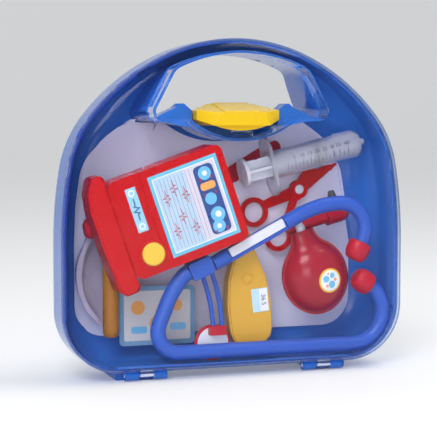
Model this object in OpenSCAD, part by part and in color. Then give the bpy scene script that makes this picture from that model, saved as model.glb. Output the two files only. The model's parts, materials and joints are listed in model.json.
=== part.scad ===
// Toy doctor case, closed and standing on its feet, with its play instruments stored inside.
// Frame: origin under the middle of the case, X to the right, Y to the back, Z up.

/* [Case] */
// Width of the case at its widest level
case_w = 295; // [285:1:305]
// Height of the case over its feet
case_h = 280; // [276:1:286]
// Depth of the closed case, front to back
case_d = 78; // [76:1:84]
// Depth of the clear front cover, the rest is the back shell
cover_d = 20; // [19:0.5:22]
// Wall of the moulded back shell
shell_wall = 2.4; // [1.8:0.1:2.6]
// Wall of the clear cover
cover_wall = 2; // [1.6:0.1:2.2]
// Height of the feet
foot_h = 8; // [7:0.5:9]
// Radius of the crown of the outline
crown_r = 145; // [142:1:148]
// Radius of the shoulder of the outline
shoulder_r = 90; // [88:1:94]
// Radius of the bottom corners
corner_r = 48; // [44:1:50]

/* [Hand window] */
// Height of the crown of the window over the floor
window_top = 267.3; // [266:0.1:268]
// Radius of the crown of the window
window_crown_r = 125; // [120:1:130]
// Length of each straight side of the window
window_side = 30; // [28:1:31]
// Radius of the scoop below the latch
scoop_r = 72; // [70:1:74]
// Lowest point of the scoop over the floor
scoop_z = 198; // [197.5:0.5:200]

/* [Latch and hinge] */
// Half width of the latch across its wings
latch_half_w = 36; // [34:0.5:36.5]
// Radius of the latch trunnions
trunnion_r = 2.5; // [2:0.1:3]
// Running clearance on a radius
fit = 0.08; // [0.05:0.01:0.1]
// Radius of the hinge knuckles
knuckle_r = 4; // [3.6:0.1:4.2]
// Radius of the hinge pins
hinge_pin_r = 1.5; // [1.2:0.1:1.8]

/* [Heart monitor] */
// Turn of the monitor in the case, in degrees
monitor_turn = 19; // [18:0.5:20]
// Thickness of the monitor body
monitor_t = 24; // [22:0.5:25]
// Radius of the press button
button_r = 9.5; // [8:0.5:10]
// Travel of the press button
button_travel = 2.5; // [1.5:0.5:2.5]

/* [Syringe] */
// Length of the barrel
barrel_l = 82; // [76:1:84]
// Outer radius of the barrel
barrel_r = 12; // [11:0.5:12]
// Turn of the syringe in the case, in degrees
syringe_turn = 13.5; // [12:0.5:15]

/* [Stethoscope] */
// Radius of the ear tubes
tube_r = 6.4; // [6:0.2:6.6]
// Radius of the ear tips
ear_tip_r = 10.2; // [9:0.1:10.4]
// Radius of the thin twin tubes
thin_tube_r = 2; // [1.8:0.1:2.2]

/* [Other instruments] */
// Half width of the pump bulb
bulb_r = 28; // [26:0.5:29]
// Outer radius of the kidney dish
dish_r = 53; // [50:1:53]
// Length of the scissors blades from the pivot
blade_l = 52; // [46:1:52]
// Radius of the hammer head
hammer_head_r = 8.4; // [7.5:0.1:8.6]

/* [Hidden] */
$fn = 48;
eps = 0.01;
front_y = -case_d / 2;
back_y = case_d / 2;
part_y = front_y + cover_d;
part_gap = 0.15;
half_w = case_w / 2;

// Colours
blue = [0.13, 0.33, 0.68];
clear = [0.82, 0.88, 0.96, 0.35];
yellow = [0.98, 0.8, 0.12];
lavender = [0.84, 0.85, 0.93];
red = [0.82, 0.08, 0.12];
white = [0.93, 0.93, 0.95];
grey = [0.3, 0.3, 0.33];
amber = [0.8, 0.55, 0.16];

// Outline of the case: arcs that run on into each other from the crown to the foot.
// An angle is that of the outward normal, from straight up at 0 to straight down at 180.
crown_end = 27;
upper_end = 51.7;
shoulder_end = 80.5;
flank_r = 400;
upper_r = (half_w - crown_r * sin(crown_end) - shoulder_r * (sin(shoulder_end) - sin(upper_end))
    - flank_r * (1 - sin(shoulder_end))) / (sin(upper_end) - sin(crown_end));

function polar(r, a) = [r * sin(a), r * cos(a)];
function arc(c, r, a0, a1, n, first = 1) = [for (i = [first:n]) c + polar(r, a0 + (a1 - a0) * i / n)];

crown_c = [0, case_h - crown_r];
upper_c = crown_c + polar(crown_r - upper_r, crown_end);
shoulder_c = upper_c + polar(upper_r - shoulder_r, upper_end);
flank_c = shoulder_c + polar(shoulder_r - flank_r, shoulder_end);
corner_c = [half_w - corner_r, foot_h + corner_r];

function right_side(d) = concat(
    arc(crown_c, crown_r - d, 0, crown_end, 5, 0),
    arc(upper_c, upper_r - d, crown_end, upper_end, 4),
    arc(shoulder_c, shoulder_r - d, upper_end, shoulder_end, 5),
    arc(flank_c, flank_r - d, shoulder_end, 90, 2),
    arc(corner_c, corner_r - d, 90, 180, 7, 0)
);
function mirrored(half) = [for (i = [len(half) - 1:-1:1]) [-half[i][0], half[i][1]]];
function outline(d) = concat(right_side(d), mirrored(right_side(d)));

// Outline of the hand window, d larger all round
window_crown_end = 25;
window_side_end = 62;
window_shoulder_r = 14;
window_corner_r = 6;
window_crown_c = [0, window_top - window_crown_r];
window_shoulder_c = window_crown_c + polar(window_crown_r - window_shoulder_r, window_crown_end);
window_corner_c = window_shoulder_c + polar(window_shoulder_r - window_corner_r, window_side_end)
    + window_side * [cos(window_side_end), -sin(window_side_end)];
window_base = window_corner_c[1] - window_corner_r;
function window_half(d) = concat(
    arc(window_crown_c, window_crown_r + d, 0, window_crown_end, 5, 0),
    arc(window_shoulder_c, window_shoulder_r + d, window_crown_end, window_side_end, 4),
    arc(window_corner_c, window_corner_r + d, window_side_end, 180, 6, 0)
);
function window_outline(d) = concat(window_half(d), mirrored(window_half(d)));

// The scoop below the latch, d larger all round
scoop_c = scoop_z + scoop_r;
module scoop_2d(d) {
    intersection() {
        translate([0, scoop_c]) circle(r = scoop_r + d, $fn = 96);
        translate([-60, scoop_z - 10]) square([120, window_base - scoop_z + 12]);
    }
}

// Stands a flat shape up in the XZ plane, from y0 back to y1
module upright(y0, y1) {
    translate([0, y1, 0]) rotate([90, 0, 0]) linear_extrude(y1 - y0) children();
}

// Places a piece by its face: X right, Y up and Z to the front
module on_face(x, z, turn, y) {
    translate([x, y, z]) rotate([90, 0, 0]) rotate([0, 0, turn]) children();
}

// A closed solid through rings of equal point count
module loft(rings) {
    n = len(rings[0]);
    last = (len(rings) - 1) * n;
    polyhedron(
        points = [for (ring = rings) each ring],
        faces = concat(
            [[for (i = [0:n - 1]) i]],
            [for (k = [0:len(rings) - 2]) for (i = [0:n - 1])
                let (a = k * n + i, b = k * n + (i + 1) % n) each [[a, a + n, b], [b, a + n, b + n]]],
            [[for (i = [n - 1:-1:0]) last + i]]
        ),
        convexity = 4
    );
}

// Back shell: straight walls, then a rounded back whose top slopes away behind the handle
straight_y = 8;
back_inset = 26;
slope_start_z = 150;
back_slope = 0.24;
function round_part(t) = 1 - sqrt(1 - t * t);
function sloped(p, k) = p[1] > slope_start_z ? [p[0], slope_start_z + (p[1] - slope_start_z) * (1 - k)] : p;
function case_ring(y, d, k) = [for (p = outline(d)) let (q = sloped(p, k)) [q[0], y, q[1]]];
back_steps = [0.35, 0.62, 0.82, 0.94, 1];
function back_rings(wall, y0) = concat(
    [case_ring(y0, wall, 0), case_ring(straight_y, wall, 0)],
    [for (t = back_steps) case_ring(
        straight_y + (back_y - wall - straight_y) * t, wall + back_inset * round_part(t), back_slope * t)]
);
module back_dome(wall, y0) { loft(back_rings(wall, y0)); }

// Front cover: a short straight wall, then a rounded edge to the flat front
cover_straight = 5;
front_inset = 13;
front_steps = [1, 0.94, 0.8, 0.58, 0.3];
cover_round_y = part_y - cover_straight;
function cover_rings(wall, y1) = concat(
    [for (t = front_steps) case_ring(
        cover_round_y + (front_y + wall - cover_round_y) * t, wall + front_inset * round_part(t), 0)],
    [case_ring(cover_round_y, wall, 0), case_ring(y1, wall, 0)]
);
module cover_dome(wall, y1) { loft(cover_rings(wall, y1)); }

// Hinge along the bottom of the parting line
hinge_z = knuckle_r + 0.5;
hinge_x = 78;
knuckle_w = 11.6;
knuckle_pitch = 12;
knuckle_gap = 0.4;
pin_half = 18;
// A rod along X, half of its length to each side of x
module across(x, half, y, z, r) {
    translate([x - half, y, z]) rotate([0, 90, 0]) cylinder(r = r, h = 2 * half);
}
module knuckle(x, y0, y1) {
    across(x, knuckle_w / 2, part_y, hinge_z, knuckle_r);
    translate([x - knuckle_w / 2, y0, hinge_z]) cube([knuckle_w, y1 - y0, foot_h + 1 - hinge_z]);
}

// Latch pivot, in the ears of the back shell
pivot_y = -10;
pivot_z = 216;
ear_x = 37.6;
seat_back = 6;
ear_points = [[ear_x, 207], [ear_x, 220.8], [44.5, 226.6], [47.5, 226.6], [52, 223], [69, 215.5],
    [71, 212.5], [60, 211], [46, 208]];

tongue_l = 3;
tongue_gap = 0.4;
tongue_t = 1.3;
// The tongue leaves out the bottom corners and the reach of the latch
tongue_corner = [90, 90];
tongue_window = [170, 60];
foot_x = 68;
foot_w = 34;
foot_back = 30;

module window_volume(d, y0, y1, scoop_y1) {
    upright(y0, y1) polygon(window_outline(d));
    upright(y0, scoop_y1) scoop_2d(d);
}

module rear_shell() {
    color(blue) difference() {
        union() {
            difference() {
                union() {
                    back_dome(0, part_y + part_gap);
                    for (s = [-1, 1]) translate([s * (foot_x + foot_w / 2) - foot_w / 2, part_y + 7, 0])
                        cube([foot_w, foot_back - part_y - 7, 30]);
                }
                back_dome(shell_wall, part_y + part_gap - 1);
                window_volume(0, part_y - 1, back_y + 1, seat_back);
            }
            intersection() {
                back_dome(0, part_y + part_gap);
                difference() {
                    window_volume(shell_wall, part_y, back_y + 1, seat_back + shell_wall);
                    window_volume(0, part_y - 1, back_y + 2, seat_back);
                }
            }
            for (s = [-1, 1]) mirror([s < 0 ? 1 : 0, 0, 0])
                upright(part_y + part_gap, pivot_y + 7) polygon(ear_points);
            upright(part_y - tongue_l, part_y + 3) difference() {
                polygon(outline(cover_wall + tongue_gap));
                polygon(outline(cover_wall + tongue_gap + tongue_t));
                translate([0, window_base + 12]) square(tongue_window, center = true);
                for (s = [-1, 1]) translate([s * half_w, foot_h]) square(tongue_corner, center = true);
            }
            for (s = [-1, 1]) for (k = [-1, 1])
                knuckle(s * hinge_x + k * knuckle_pitch, part_y, part_y + 6);
        }
        for (s = [-1, 1]) across(s * hinge_x, pin_half + 1, part_y, hinge_z, hinge_pin_r);
        across(0, ear_x + 5, pivot_y, pivot_z, trunnion_r + fit);
        for (s = [-1, 1])
            across(s * hinge_x, knuckle_pitch / 2 + 0.15, part_y, hinge_z, knuckle_r + knuckle_gap);
    }
}

// Catch bead of the cover, on a foot in the scoop
catch_y = -34.2;
catch_z = 204.25;
catch_r = 3;
catch_half_w = 9;
module front_cover() {
    color(clear) difference() {
        union() {
            difference() {
                cover_dome(0, part_y - part_gap);
                cover_dome(cover_wall, part_y + 1);
                window_volume(0, front_y - 1, part_y + 1, part_y + 1);
            }
            intersection() {
                cover_dome(0, part_y - part_gap);
                difference() {
                    window_volume(cover_wall, front_y, part_y, part_y);
                    window_volume(0, front_y - 1, part_y + 1, part_y + 1);
                }
            }
            across(0, catch_half_w, catch_y, catch_z - catch_r, catch_r);
            translate([-catch_half_w, catch_y - 2, scoop_z - 1.5])
                cube([2 * catch_half_w, 4, catch_z - catch_r - scoop_z + 1.5]);
            for (s = [-1, 1]) knuckle(s * hinge_x, part_y - 6, part_y);
        }
        for (s = [-1, 1]) across(s * hinge_x, 8, part_y, hinge_z, hinge_pin_r + fit);
        for (s = [-1, 1]) for (k = [-1, 1])
            across(s * hinge_x + k * knuckle_pitch, 6.1, part_y, hinge_z, knuckle_r + knuckle_gap);
    }
}

module hinge_pins() {
    color(white) for (s = [-1, 1]) across(s * hinge_x, pin_half, part_y, hinge_z, hinge_pin_r);
}

// Latch: an eight-sided plate with a raised middle, a rounded heel and a set-back lip over the catch.
// A corner is given by its half width, depth and height, to the middle of its small rounding.
plate_corners = [[20, -4.5, 226], [19, -36.8, 218.8], [latch_half_w - 0.5, -26, 220.5],
    [latch_half_w - 0.5, -13, 220.5], [latch_half_w - 0.5, -26, 213.5], [latch_half_w - 0.5, -13, 213.5],
    [28, -7, 209], [24, -36.5, 209]];
ridge_corners = [[15.5, -4.8, 227.1], [15, -37.5, 219.9], [18, -35, 210.5], [18, -6, 210.5]];
heel_r = 7.5;
lip_front = -34;
lip_t = 2.6;
lip_half_w = 28;
lip_top = 210;
lip_r = scoop_r + scoop_z - catch_z - 0.25;
module rounded_hull(corners) {
    hull() for (s = [-1, 1]) for (c = corners) translate([s * c[0], c[1], c[2]]) sphere(0.5, $fn = 8);
}
module latch() {
    color(yellow) {
        rounded_hull(plate_corners);
        rounded_hull(ridge_corners);
        across(0, 30, pivot_y, pivot_z, heel_r);
        across(0, ear_x + 4, pivot_y, pivot_z, trunnion_r);
        upright(lip_front, lip_front + lip_t) intersection() {
            translate([0, scoop_c]) circle(r = lip_r, $fn = 96);
            translate([-lip_half_w, scoop_z]) square([2 * lip_half_w, lip_top - scoop_z]);
        }
    }
}

liner_y = 33.2;
liner_t = 1.2;
module back_liner() {
    color(lavender) upright(liner_y, liner_y + liner_t) difference() {
        polygon([for (p = outline(22)) sloped(p, back_slope * 0.95)]);
        polygon(window_outline(shell_wall + 1));
        scoop_2d(shell_wall + 1);
    }
}

// Heart monitor, in its own face frame with the middle of the chart at the origin
monitor_x = -40;
monitor_z = 144;
monitor_y = -7;
body_left = -64;
body_right = 37;
body_bottom = -42;
body_top = 41;
// Left part of the front, with the button, lies a little lower than the chart
panel_left = -36;
panel_rise = 1;
grip_left = -83;
grip_right = -64.1;
grip_low = -50;
grip_high = 49;
grip_rise = 2;
seam_z = 9;
skin = 2;
chart_half_w = 30.5;
chart_half_h = 34.5;
button_at = [-45.3, -25.4];
strip_left = -51;
strip_bottom = -5.5;
strip_w = 9;
strip_h = 37;
module on_monitor() { on_face(monitor_x, monitor_z, monitor_turn, monitor_y) children(); }
module round_rect(x0, y0, x1, y1, r) {
    w = x1 - x0;
    h = y1 - y0;
    translate([x0 + r, y0]) square([w - 2 * r, h]);
    translate([x0, y0 + r]) square([w, h - 2 * r]);
    for (x = [x0 + r, x1 - r]) for (y = [y0 + r, y1 - r]) translate([x, y]) circle(r = r);
}
module body_2d(d) { round_rect(body_left + d, body_bottom + d, body_right - d, body_top - d, 7 - d); }
screw_in = 6.5;
post_r = 3.4;
screw_spots = [for (x = [body_left + screw_in, body_right - screw_in])
    for (y = [body_bottom + screw_in, body_top - screw_in]) [x, y]];

module monitor_back_shell() {
    color(red) on_monitor() difference() {
        union() {
            difference() {
                linear_extrude(seam_z) body_2d(0);
                translate([0, 0, skin]) linear_extrude(seam_z) body_2d(skin);
            }
            for (p = screw_spots) translate([p[0], p[1], 0]) cylinder(r = post_r, h = seam_z);
        }
        for (p = screw_spots) translate([p[0], p[1], -1]) cylinder(r = 1.3, h = seam_z + 2);
        for (p = screw_spots) translate([p[0], p[1], -1]) cylinder(r = 2.4, h = 3);
    }
}

module monitor_front_shell() {
    color(red) on_monitor() difference() {
        union() {
            difference() {
                translate([0, 0, seam_z]) linear_extrude(monitor_t - seam_z) body_2d(0);
                translate([0, 0, seam_z - 1])
                    linear_extrude(monitor_t - skin * 1.6 - seam_z + 1) body_2d(skin);
            }
            for (p = screw_spots) translate([p[0], p[1], seam_z])
                cylinder(r = post_r, h = monitor_t - seam_z - 1);
            translate([button_at[0], button_at[1], monitor_t - 1]) cylinder(r = button_r + 3.2, h = 2.2);
            translate([0, 0, monitor_t - 1]) linear_extrude(panel_rise + 1) intersection() {
                body_2d(0);
                round_rect(panel_left, body_bottom, body_right + 20, body_top + 20, 6);
            }
        }
        translate([button_at[0], button_at[1], 0]) cylinder(r = button_r + 0.3, h = monitor_t + 3);
        for (p = screw_spots) translate([p[0], p[1], seam_z - 1]) cylinder(r = 1, h = 8);
    }
}

// Grip bar beside the body, with a deep slope at its upper outer corner, d smaller all round
function grip_points(d) = [
    [grip_left + 1.5 + d, grip_low + 5 + d], [grip_left + 6, grip_low + d],
    [grip_right - 3 - d, grip_low + d], [grip_right - d, grip_low + 3 + d],
    [grip_right - d, grip_high - 3 - d], [grip_right - 2 - d, grip_high - d],
    [-73.2 + d / 2, grip_high - d], [-76 + d, grip_high - 3 - d / 2],
    [-80.6 + d, 37 - d / 2], [grip_left + d, 24 - d / 2], [grip_left + d, -8]
];
module monitor_grip() {
    color(red) on_monitor() difference() {
        union() {
            linear_extrude(monitor_t + grip_rise) polygon(grip_points(0));
            translate([0, 0, monitor_t + grip_rise - eps]) linear_extrude(1.5) polygon(grip_points(1.5));
        }
        translate([0, 0, -1]) linear_extrude(monitor_t + grip_rise) polygon(grip_points(skin));
    }
}

module monitor_button() {
    color(yellow) on_monitor() translate([button_at[0], button_at[1], 0]) {
        translate([0, 0, monitor_t - 7]) cylinder(r = button_r, h = 9.2);
        translate([0, 0, monitor_t + 2.2 - eps]) cylinder(r1 = button_r, r2 = button_r - 1, h = 1);
        translate([0, 0, monitor_t - 7]) cylinder(r = button_r + 1.8, h = 1.6);
    }
}

module monitor_leaf_spring() {
    color(grey) on_monitor() difference() {
        translate([button_at[0] - 5, button_at[1] - 12, monitor_t - 7 - button_travel - 1.2])
            cube([10, 60, 0.8]);
        translate([button_at[0], button_at[1] + 42, 0]) cylinder(r = 1.2, h = monitor_t);
    }
}

module monitor_chart_label() {
    color([0.6, 0.85, 0.92]) on_monitor() translate([-chart_half_w, -chart_half_h, monitor_t + panel_rise])
        cube([2 * chart_half_w, 2 * chart_half_h, 0.4]);
}

module monitor_strip_label() {
    color([0.6, 0.85, 0.92]) on_monitor() translate([strip_left, strip_bottom, monitor_t])
        cube([strip_w, strip_h, 0.4]);
}

module monitor_screws() {
    color(grey) on_monitor() for (p = screw_spots) translate([p[0], p[1], 0]) difference() {
        union() {
            translate([0, 0, 0.3]) cylinder(r = 2.3, h = 1.6);
            translate([0, 0, 1]) cylinder(r = 1, h = seam_z + 4);
        }
        translate([-1.6, -0.3, -1]) cube([3.2, 0.6, 2]);
        translate([-0.3, -1.6, -1]) cube([0.6, 3.2, 2]);
    }
}

// Syringe, in its own face frame with the finger flange at the origin
syringe_x = 39.7;
syringe_z = 173;
syringe_y = 10.5;
flange_deep = 25;
flange_half = 26;
bore_r = barrel_r - 1.4;
module on_syringe() { on_face(syringe_x, syringe_z, syringe_turn, syringe_y) children(); }
module rod_x(x0, x1, r) { translate([x0, 0, 0]) rotate([0, 90, 0]) cylinder(r = r, h = x1 - x0); }

module syringe_barrel() {
    color([0.93, 0.94, 0.97, 0.8]) on_syringe() difference() {
        union() {
            rod_x(0, barrel_l, barrel_r);
            rod_x(barrel_l - eps, barrel_l + 3, barrel_r - 2);
            rod_x(barrel_l, barrel_l + 9, 3);
            rotate([0, 90, 0]) linear_extrude(3) {
                square([flange_deep, 34], center = true);
                for (s = [-1, 1])
                    translate([0, s * (flange_half - flange_deep / 2)]) circle(r = flange_deep / 2);
            }
        }
        rod_x(-1, barrel_l - 1.5, bore_r);
        rod_x(barrel_l - 2, barrel_l + 10, 1.2);
    }
}

plate_x = -24;
seal_x = 42;
module syringe_plunger() {
    color(white) on_syringe() {
        rod_x(plate_x, plate_x + 3, 12.6);
        difference() {
            rod_x(plate_x + 2, seal_x - 2, bore_r - 1.6);
            for (sy = [-1, 1]) for (sz = [-1, 1])
                translate([plate_x + 3, sy * 6.2 - 5, sz * 6.2 - 5]) cube([seal_x - plate_x - 9, 10, 10]);
        }
        rod_x(seal_x - 2.2, seal_x + 5, 3);
    }
}

module syringe_seal() {
    color(grey) on_syringe() difference() {
        union() {
            rod_x(seal_x - 2, seal_x + 7, bore_r - 0.8);
            rod_x(seal_x - 1.5, seal_x, bore_r - 0.1);
            rod_x(seal_x + 4.5, seal_x + 6, bore_r - 0.1);
            translate([seal_x + 7 - eps, 0, 0]) rotate([0, 90, 0]) cylinder(r1 = bore_r - 0.8, r2 = 2, h = 3);
        }
        rod_x(seal_x - 3, seal_x + 5, 3);
    }
}

// Stethoscope, in the face frame of the case. A heading of 0 is to the right and 90 is up.
steth_y = -20;
module on_steth() { on_face(0, 0, 0, steth_y) children(); }
function ahead(p, h, l) = p + l * [cos(h), sin(h)];
function left_centre(p, h, r) = p + r * [-sin(h), cos(h)];
function right_centre(p, h, r) = p + r * [sin(h), -cos(h)];
function left_end(p, h, r, turn) = left_centre(p, h, r) + r * [sin(h + turn), -cos(h + turn)];
function right_end(p, h, r, turn) = right_centre(p, h, r) + r * [-sin(h - turn), cos(h - turn)];
// A station is a point of a route and its heading
function run(p, h, l) = [[p, h], [ahead(p, h, l), h]];
function left_bend(p, h, r, turn, n) =
    [for (i = [1:n]) let (t = turn * i / n) [left_end(p, h, r, t), h + t]];
function right_bend(p, h, r, turn, n) =
    [for (i = [1:n]) let (t = turn * i / n) [right_end(p, h, r, t), h - t]];
function tube_ring(st, r, n) = [for (k = [0:n - 1]) let (a = 360 * k / n)
    [st[0][0] - r * cos(a) * sin(st[1]), st[0][1] + r * cos(a) * cos(st[1]), r * sin(a)]];
module tube(stations, r, n) { loft([for (st = stations) tube_ring(st, r, n)]); }

yoke_at = [-31, 91.4];
yoke_turn = 22;
yoke_l = 21;
yoke_w = 15.5;
yoke_t = 15;
yoke_front = 6;
module stethoscope_yoke() {
    color(blue) on_face(yoke_at[0], yoke_at[1], yoke_turn, steth_y) translate([0, 0, yoke_front - yoke_t])
        linear_extrude(yoke_t) round_rect(-yoke_l / 2, -yoke_w / 2, yoke_l / 2, yoke_w / 2, 3);
}

// Upper arm: a flat bar with an inlay, then a thick tube over the crest and round the hook
arm_turn = 27;
arm_at = [-19.9, 94.1];
arm_l = 86;
arm_w = 11.6;
arm_t = 6;
inlay_x = 16;
inlay_l = 54;
crest_r = 84;
hook_r = 22;
hook_turn = 100;
tail_r = 30;
tail_turn = 17;
crest_at = ahead(arm_at, arm_turn, arm_l);
hook_at = right_end(crest_at, arm_turn, crest_r, arm_turn);
tail_at = right_end(hook_at, 0, hook_r, hook_turn);
upper_end_at = right_end(tail_at, -hook_turn, tail_r, tail_turn);
module on_arm() { on_steth() translate([arm_at[0], arm_at[1], 0]) rotate([0, 0, arm_turn]) children(); }
module stethoscope_upper_arm() {
    color(blue) {
        on_arm() difference() {
            translate([0, -arm_w / 2, -arm_t / 2]) cube([inlay_x + inlay_l + 4, arm_w, arm_t]);
            translate([inlay_x, -arm_w / 2 + 3.4, arm_t / 2 - 1.5]) cube([inlay_l, arm_w, 3]);
        }
        on_arm() rod_x(0, inlay_x - 1.5, tube_r);
        on_steth() tube(concat(
            run(ahead(arm_at, arm_turn, inlay_x + inlay_l + 1), arm_turn, arm_l - inlay_x - inlay_l - 1),
            right_bend(crest_at, arm_turn, crest_r, arm_turn, 4),
            right_bend(hook_at, 0, hook_r, hook_turn, 9),
            right_bend(tail_at, -hook_turn, tail_r, tail_turn, 2)
        ), tube_r, 14);
    }
}

module stethoscope_arm_inlay() {
    color(white) on_arm() translate([inlay_x + 0.2, -arm_w / 2 + 3.6, arm_t / 2 - 1.45]) linear_extrude(2.4)
        round_rect(0, 0, inlay_l - 0.4, arm_w - 3.8, 1);
}

// Lower tube: a short elbow out of the yoke, a slow bow, round the bottom and up to the tip
elbow_at = [-41.6, 87.9];
elbow_start = 205;
elbow_r = 14;
elbow_turn = 23;
bow_at = left_end(elbow_at, elbow_start, elbow_r, elbow_turn);
bow_start = elbow_start + elbow_turn;
bow_r = 75;
bow_turn = 20;
fall_at = left_end(bow_at, bow_start, bow_r, bow_turn);
fall_turn = bow_start + bow_turn;
fall_l = 17;
sweep_at = ahead(fall_at, fall_turn, fall_l);
sweep_r = 18.5;
floor_at = left_end(sweep_at, fall_turn, sweep_r, 360 - fall_turn);
rise_x = 107;
rise_r = 27;
rise_turn = 147;
rise_at = [rise_x, floor_at[1]];
lower_end_at = left_end(rise_at, 0, rise_r, rise_turn);
module stethoscope_lower_tube() {
    color(blue) on_steth() tube(concat(
        [[elbow_at, elbow_start]],
        left_bend(elbow_at, elbow_start, elbow_r, elbow_turn, 3),
        left_bend(bow_at, bow_start, bow_r, bow_turn, 3),
        left_bend(sweep_at, fall_turn, sweep_r, 360 - fall_turn, 10),
        left_bend(rise_at, 0, rise_r, rise_turn, 12)
    ), tube_r, 14);
}

tip_gap = 0.05;
// Profile of a tip of radius 1, along its length
tip_profile = [[0, 0], [0.88, 0], [0.93, 0.6], [1, 5], [1, 8], [0.92, 12], [0.78, 14.6], [0.62, 15.8],
    [0.44, 16.2], [0, 16.2]];
module ear_tip(p, h) {
    translate([p[0], p[1], 0]) rotate([0, 0, h]) rotate([0, 90, 0]) translate([0, 0, tip_gap])
        rotate_extrude() polygon([for (q = tip_profile) [q[0] * ear_tip_r, q[1]]]);
}
module ear_tip_upper() { color(red) on_steth() ear_tip(upper_end_at, -hook_turn - tail_turn); }
module ear_tip_lower() { color(red) on_steth() ear_tip(lower_end_at, rise_turn); }

twin_y = -12.6;
twin_step = [7.6, 3.2];
twin_heading = -70;
twin_turn = 16;
twin_r = 150;
twin_at = [-26.3, 82.6];
twin_extra = 1.22;
module stethoscope_twin_tube() {
    color(blue) on_face(0, 0, 0, twin_y) for (k = [0, 1]) let (at = twin_at + k * twin_step)
        tube(concat([[at, twin_heading]],
            right_bend(at, twin_heading, twin_r, twin_turn + k * twin_extra, 6)), thin_tube_r, 10);
}

// Chest piece: a bell with a stem that takes both thin tubes, and a diaphragm over its front
chest_at = [-17, 26.5];
chest_r = 15.5;
chest_y = -3.4;
bell_t = 6.4;
stem_x = 3.3;
stem_half_w = 7.2;
stem_top = 15;
stem_t = 12;
module chest_bell() {
    color(red) on_face(chest_at[0], chest_at[1], 0, chest_y) {
        cylinder(r1 = chest_r - 4, r2 = chest_r, h = 4);
        translate([0, 0, 4 - eps]) cylinder(r = chest_r, h = bell_t - 4);
        translate([stem_x, 0, bell_t - 2]) linear_extrude(stem_t - bell_t + 2)
            round_rect(-stem_half_w, stem_top - 8, stem_half_w, stem_top, 1.5);
    }
}
module chest_diaphragm() {
    color(white) on_face(chest_at[0], chest_at[1], 0, chest_y) translate([0, 0, bell_t]) difference() {
        cylinder(r = chest_r - 2, h = 1.2);
        translate([stem_x - stem_half_w - 0.2, stem_top - 8.2, -1]) cube([2 * stem_half_w + 0.4, 20, 4]);
    }
}

// Thermometer: a paddle that widens downwards, with a moulded button ring
thermo_at = [15.2, 79.6];
thermo_turn = 5.4;
thermo_y = 7.6;
thermo_t = 14.5;
thermo_widths = [[38, 6.5], [27, 8], [16, 11.2], [0, 16.8], [-22, 19.6], [-44, 19], [-52, 16.5], [-57, 11]];
function paddle(d) = concat([for (w = thermo_widths) [w[1] - d, w[0]]],
    [for (i = [len(thermo_widths) - 1:-1:0]) [-thermo_widths[i][1] + d, thermo_widths[i][0]]]);
module on_thermo() { on_face(thermo_at[0], thermo_at[1], thermo_turn, thermo_y) children(); }
module thermometer_body() {
    color(yellow) on_thermo() {
        translate([0, 0, 1.5]) linear_extrude(thermo_t - 3) polygon(paddle(0));
        linear_extrude(thermo_t) polygon(paddle(1.5));
        translate([0, 0, thermo_t - eps]) difference() {
            cylinder(r = 5.6, h = 0.7);
            translate([0, 0, -1]) cylinder(r = 4.4, h = 3);
        }
        translate([0, 0, thermo_t - eps]) cylinder(r1 = 3.6, r2 = 2.6, h = 0.8);
    }
}
module thermometer_probe() {
    color(white) on_thermo() translate([0, 38.1, thermo_t / 2]) rotate([-90, 0, 0]) {
        cylinder(r = 4.2, h = 5);
        translate([0, 0, 5 - eps]) cylinder(r1 = 4.2, r2 = 2, h = 4);
    }
}
module thermometer_label() {
    color([0.75, 0.88, 0.95]) on_thermo() translate([2, -30, thermo_t]) cube([14.5, 20, 0.3]);
}

// Pump: a flattened bulb in two halves with a rim along the seam
pump_at = [76.3, 79];
pump_turn = 18.5;
pump_y = -8;
pump_flat = 0.7;
pump_stretch = 1.1;
neck_r = 8.6;
neck_top = 41;
bulb_blend = 20;
blend_a = acos((neck_r + bulb_blend) / (bulb_r + bulb_blend));
function stretched(p) = [p[0], p[1] * pump_stretch];
function bulb_profile(d) = concat(
    [[0, -pump_stretch * bulb_r - d]],
    [for (i = [1:9]) let (a = -90 + (90 + blend_a) * i / 9) stretched((bulb_r + d) * [cos(a), sin(a)])],
    [for (i = [1:4]) let (a = blend_a * (1 - i / 4)) stretched(
        (bulb_r + bulb_blend) * [cos(blend_a), sin(blend_a)] - (bulb_blend - d) * [cos(a), sin(a)])],
    [[neck_r + d, neck_top], [0, neck_top]]
);
function bulb_outline(d) = concat(bulb_profile(d), [for (i = [len(bulb_profile(d)) - 2:-1:1])
    [-bulb_profile(d)[i][0], bulb_profile(d)[i][1]]]);
module on_pump() { on_face(pump_at[0], pump_at[1], pump_turn, pump_y) children(); }
module bulb_solid(d) {
    scale([1, 1, pump_flat]) rotate([-90, 0, 0]) rotate_extrude($fn = 32) polygon(bulb_profile(d));
}
module pump_half(side) {
    difference() {
        union() {
            bulb_solid(0);
            translate([0, 0, -1.3]) linear_extrude(2.6) polygon(bulb_outline(2));
        }
        bulb_solid(-2);
        translate([-60, -60, side > 0 ? 0.04 - 60 : -0.04]) cube([120, 120, 60]);
        translate([0, neck_top - 6, 0]) rotate([-90, 0, 0]) cylinder(r = 3.5, h = 20);
    }
}
module pump_front_half() { color(red) on_pump() pump_half(1); }
module pump_back_half() { color(red) on_pump() pump_half(-1); }
module pump_nozzle() {
    color(white) on_pump() translate([0, neck_top - 5, 0]) rotate([-90, 0, 0]) difference() {
        union() {
            cylinder(r = 3.4, h = 5.1);
            translate([0, 0, 5.05]) cylinder(r = 4, h = 5);
            translate([0, 0, 10]) cylinder(r1 = 3.4, r2 = 2.6, h = 4);
        }
        translate([0, 0, -1]) cylinder(r = 1.4, h = 20);
    }
}
dial_at = [5.2, -3.5];
dial_r = 10.4;
module pump_dial_label() {
    color(yellow) on_pump() intersection() {
        difference() {
            bulb_solid(0.5);
            bulb_solid(0.02);
        }
        translate([dial_at[0], dial_at[1], 5]) cylinder(r = dial_r, h = 40);
    }
}

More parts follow.
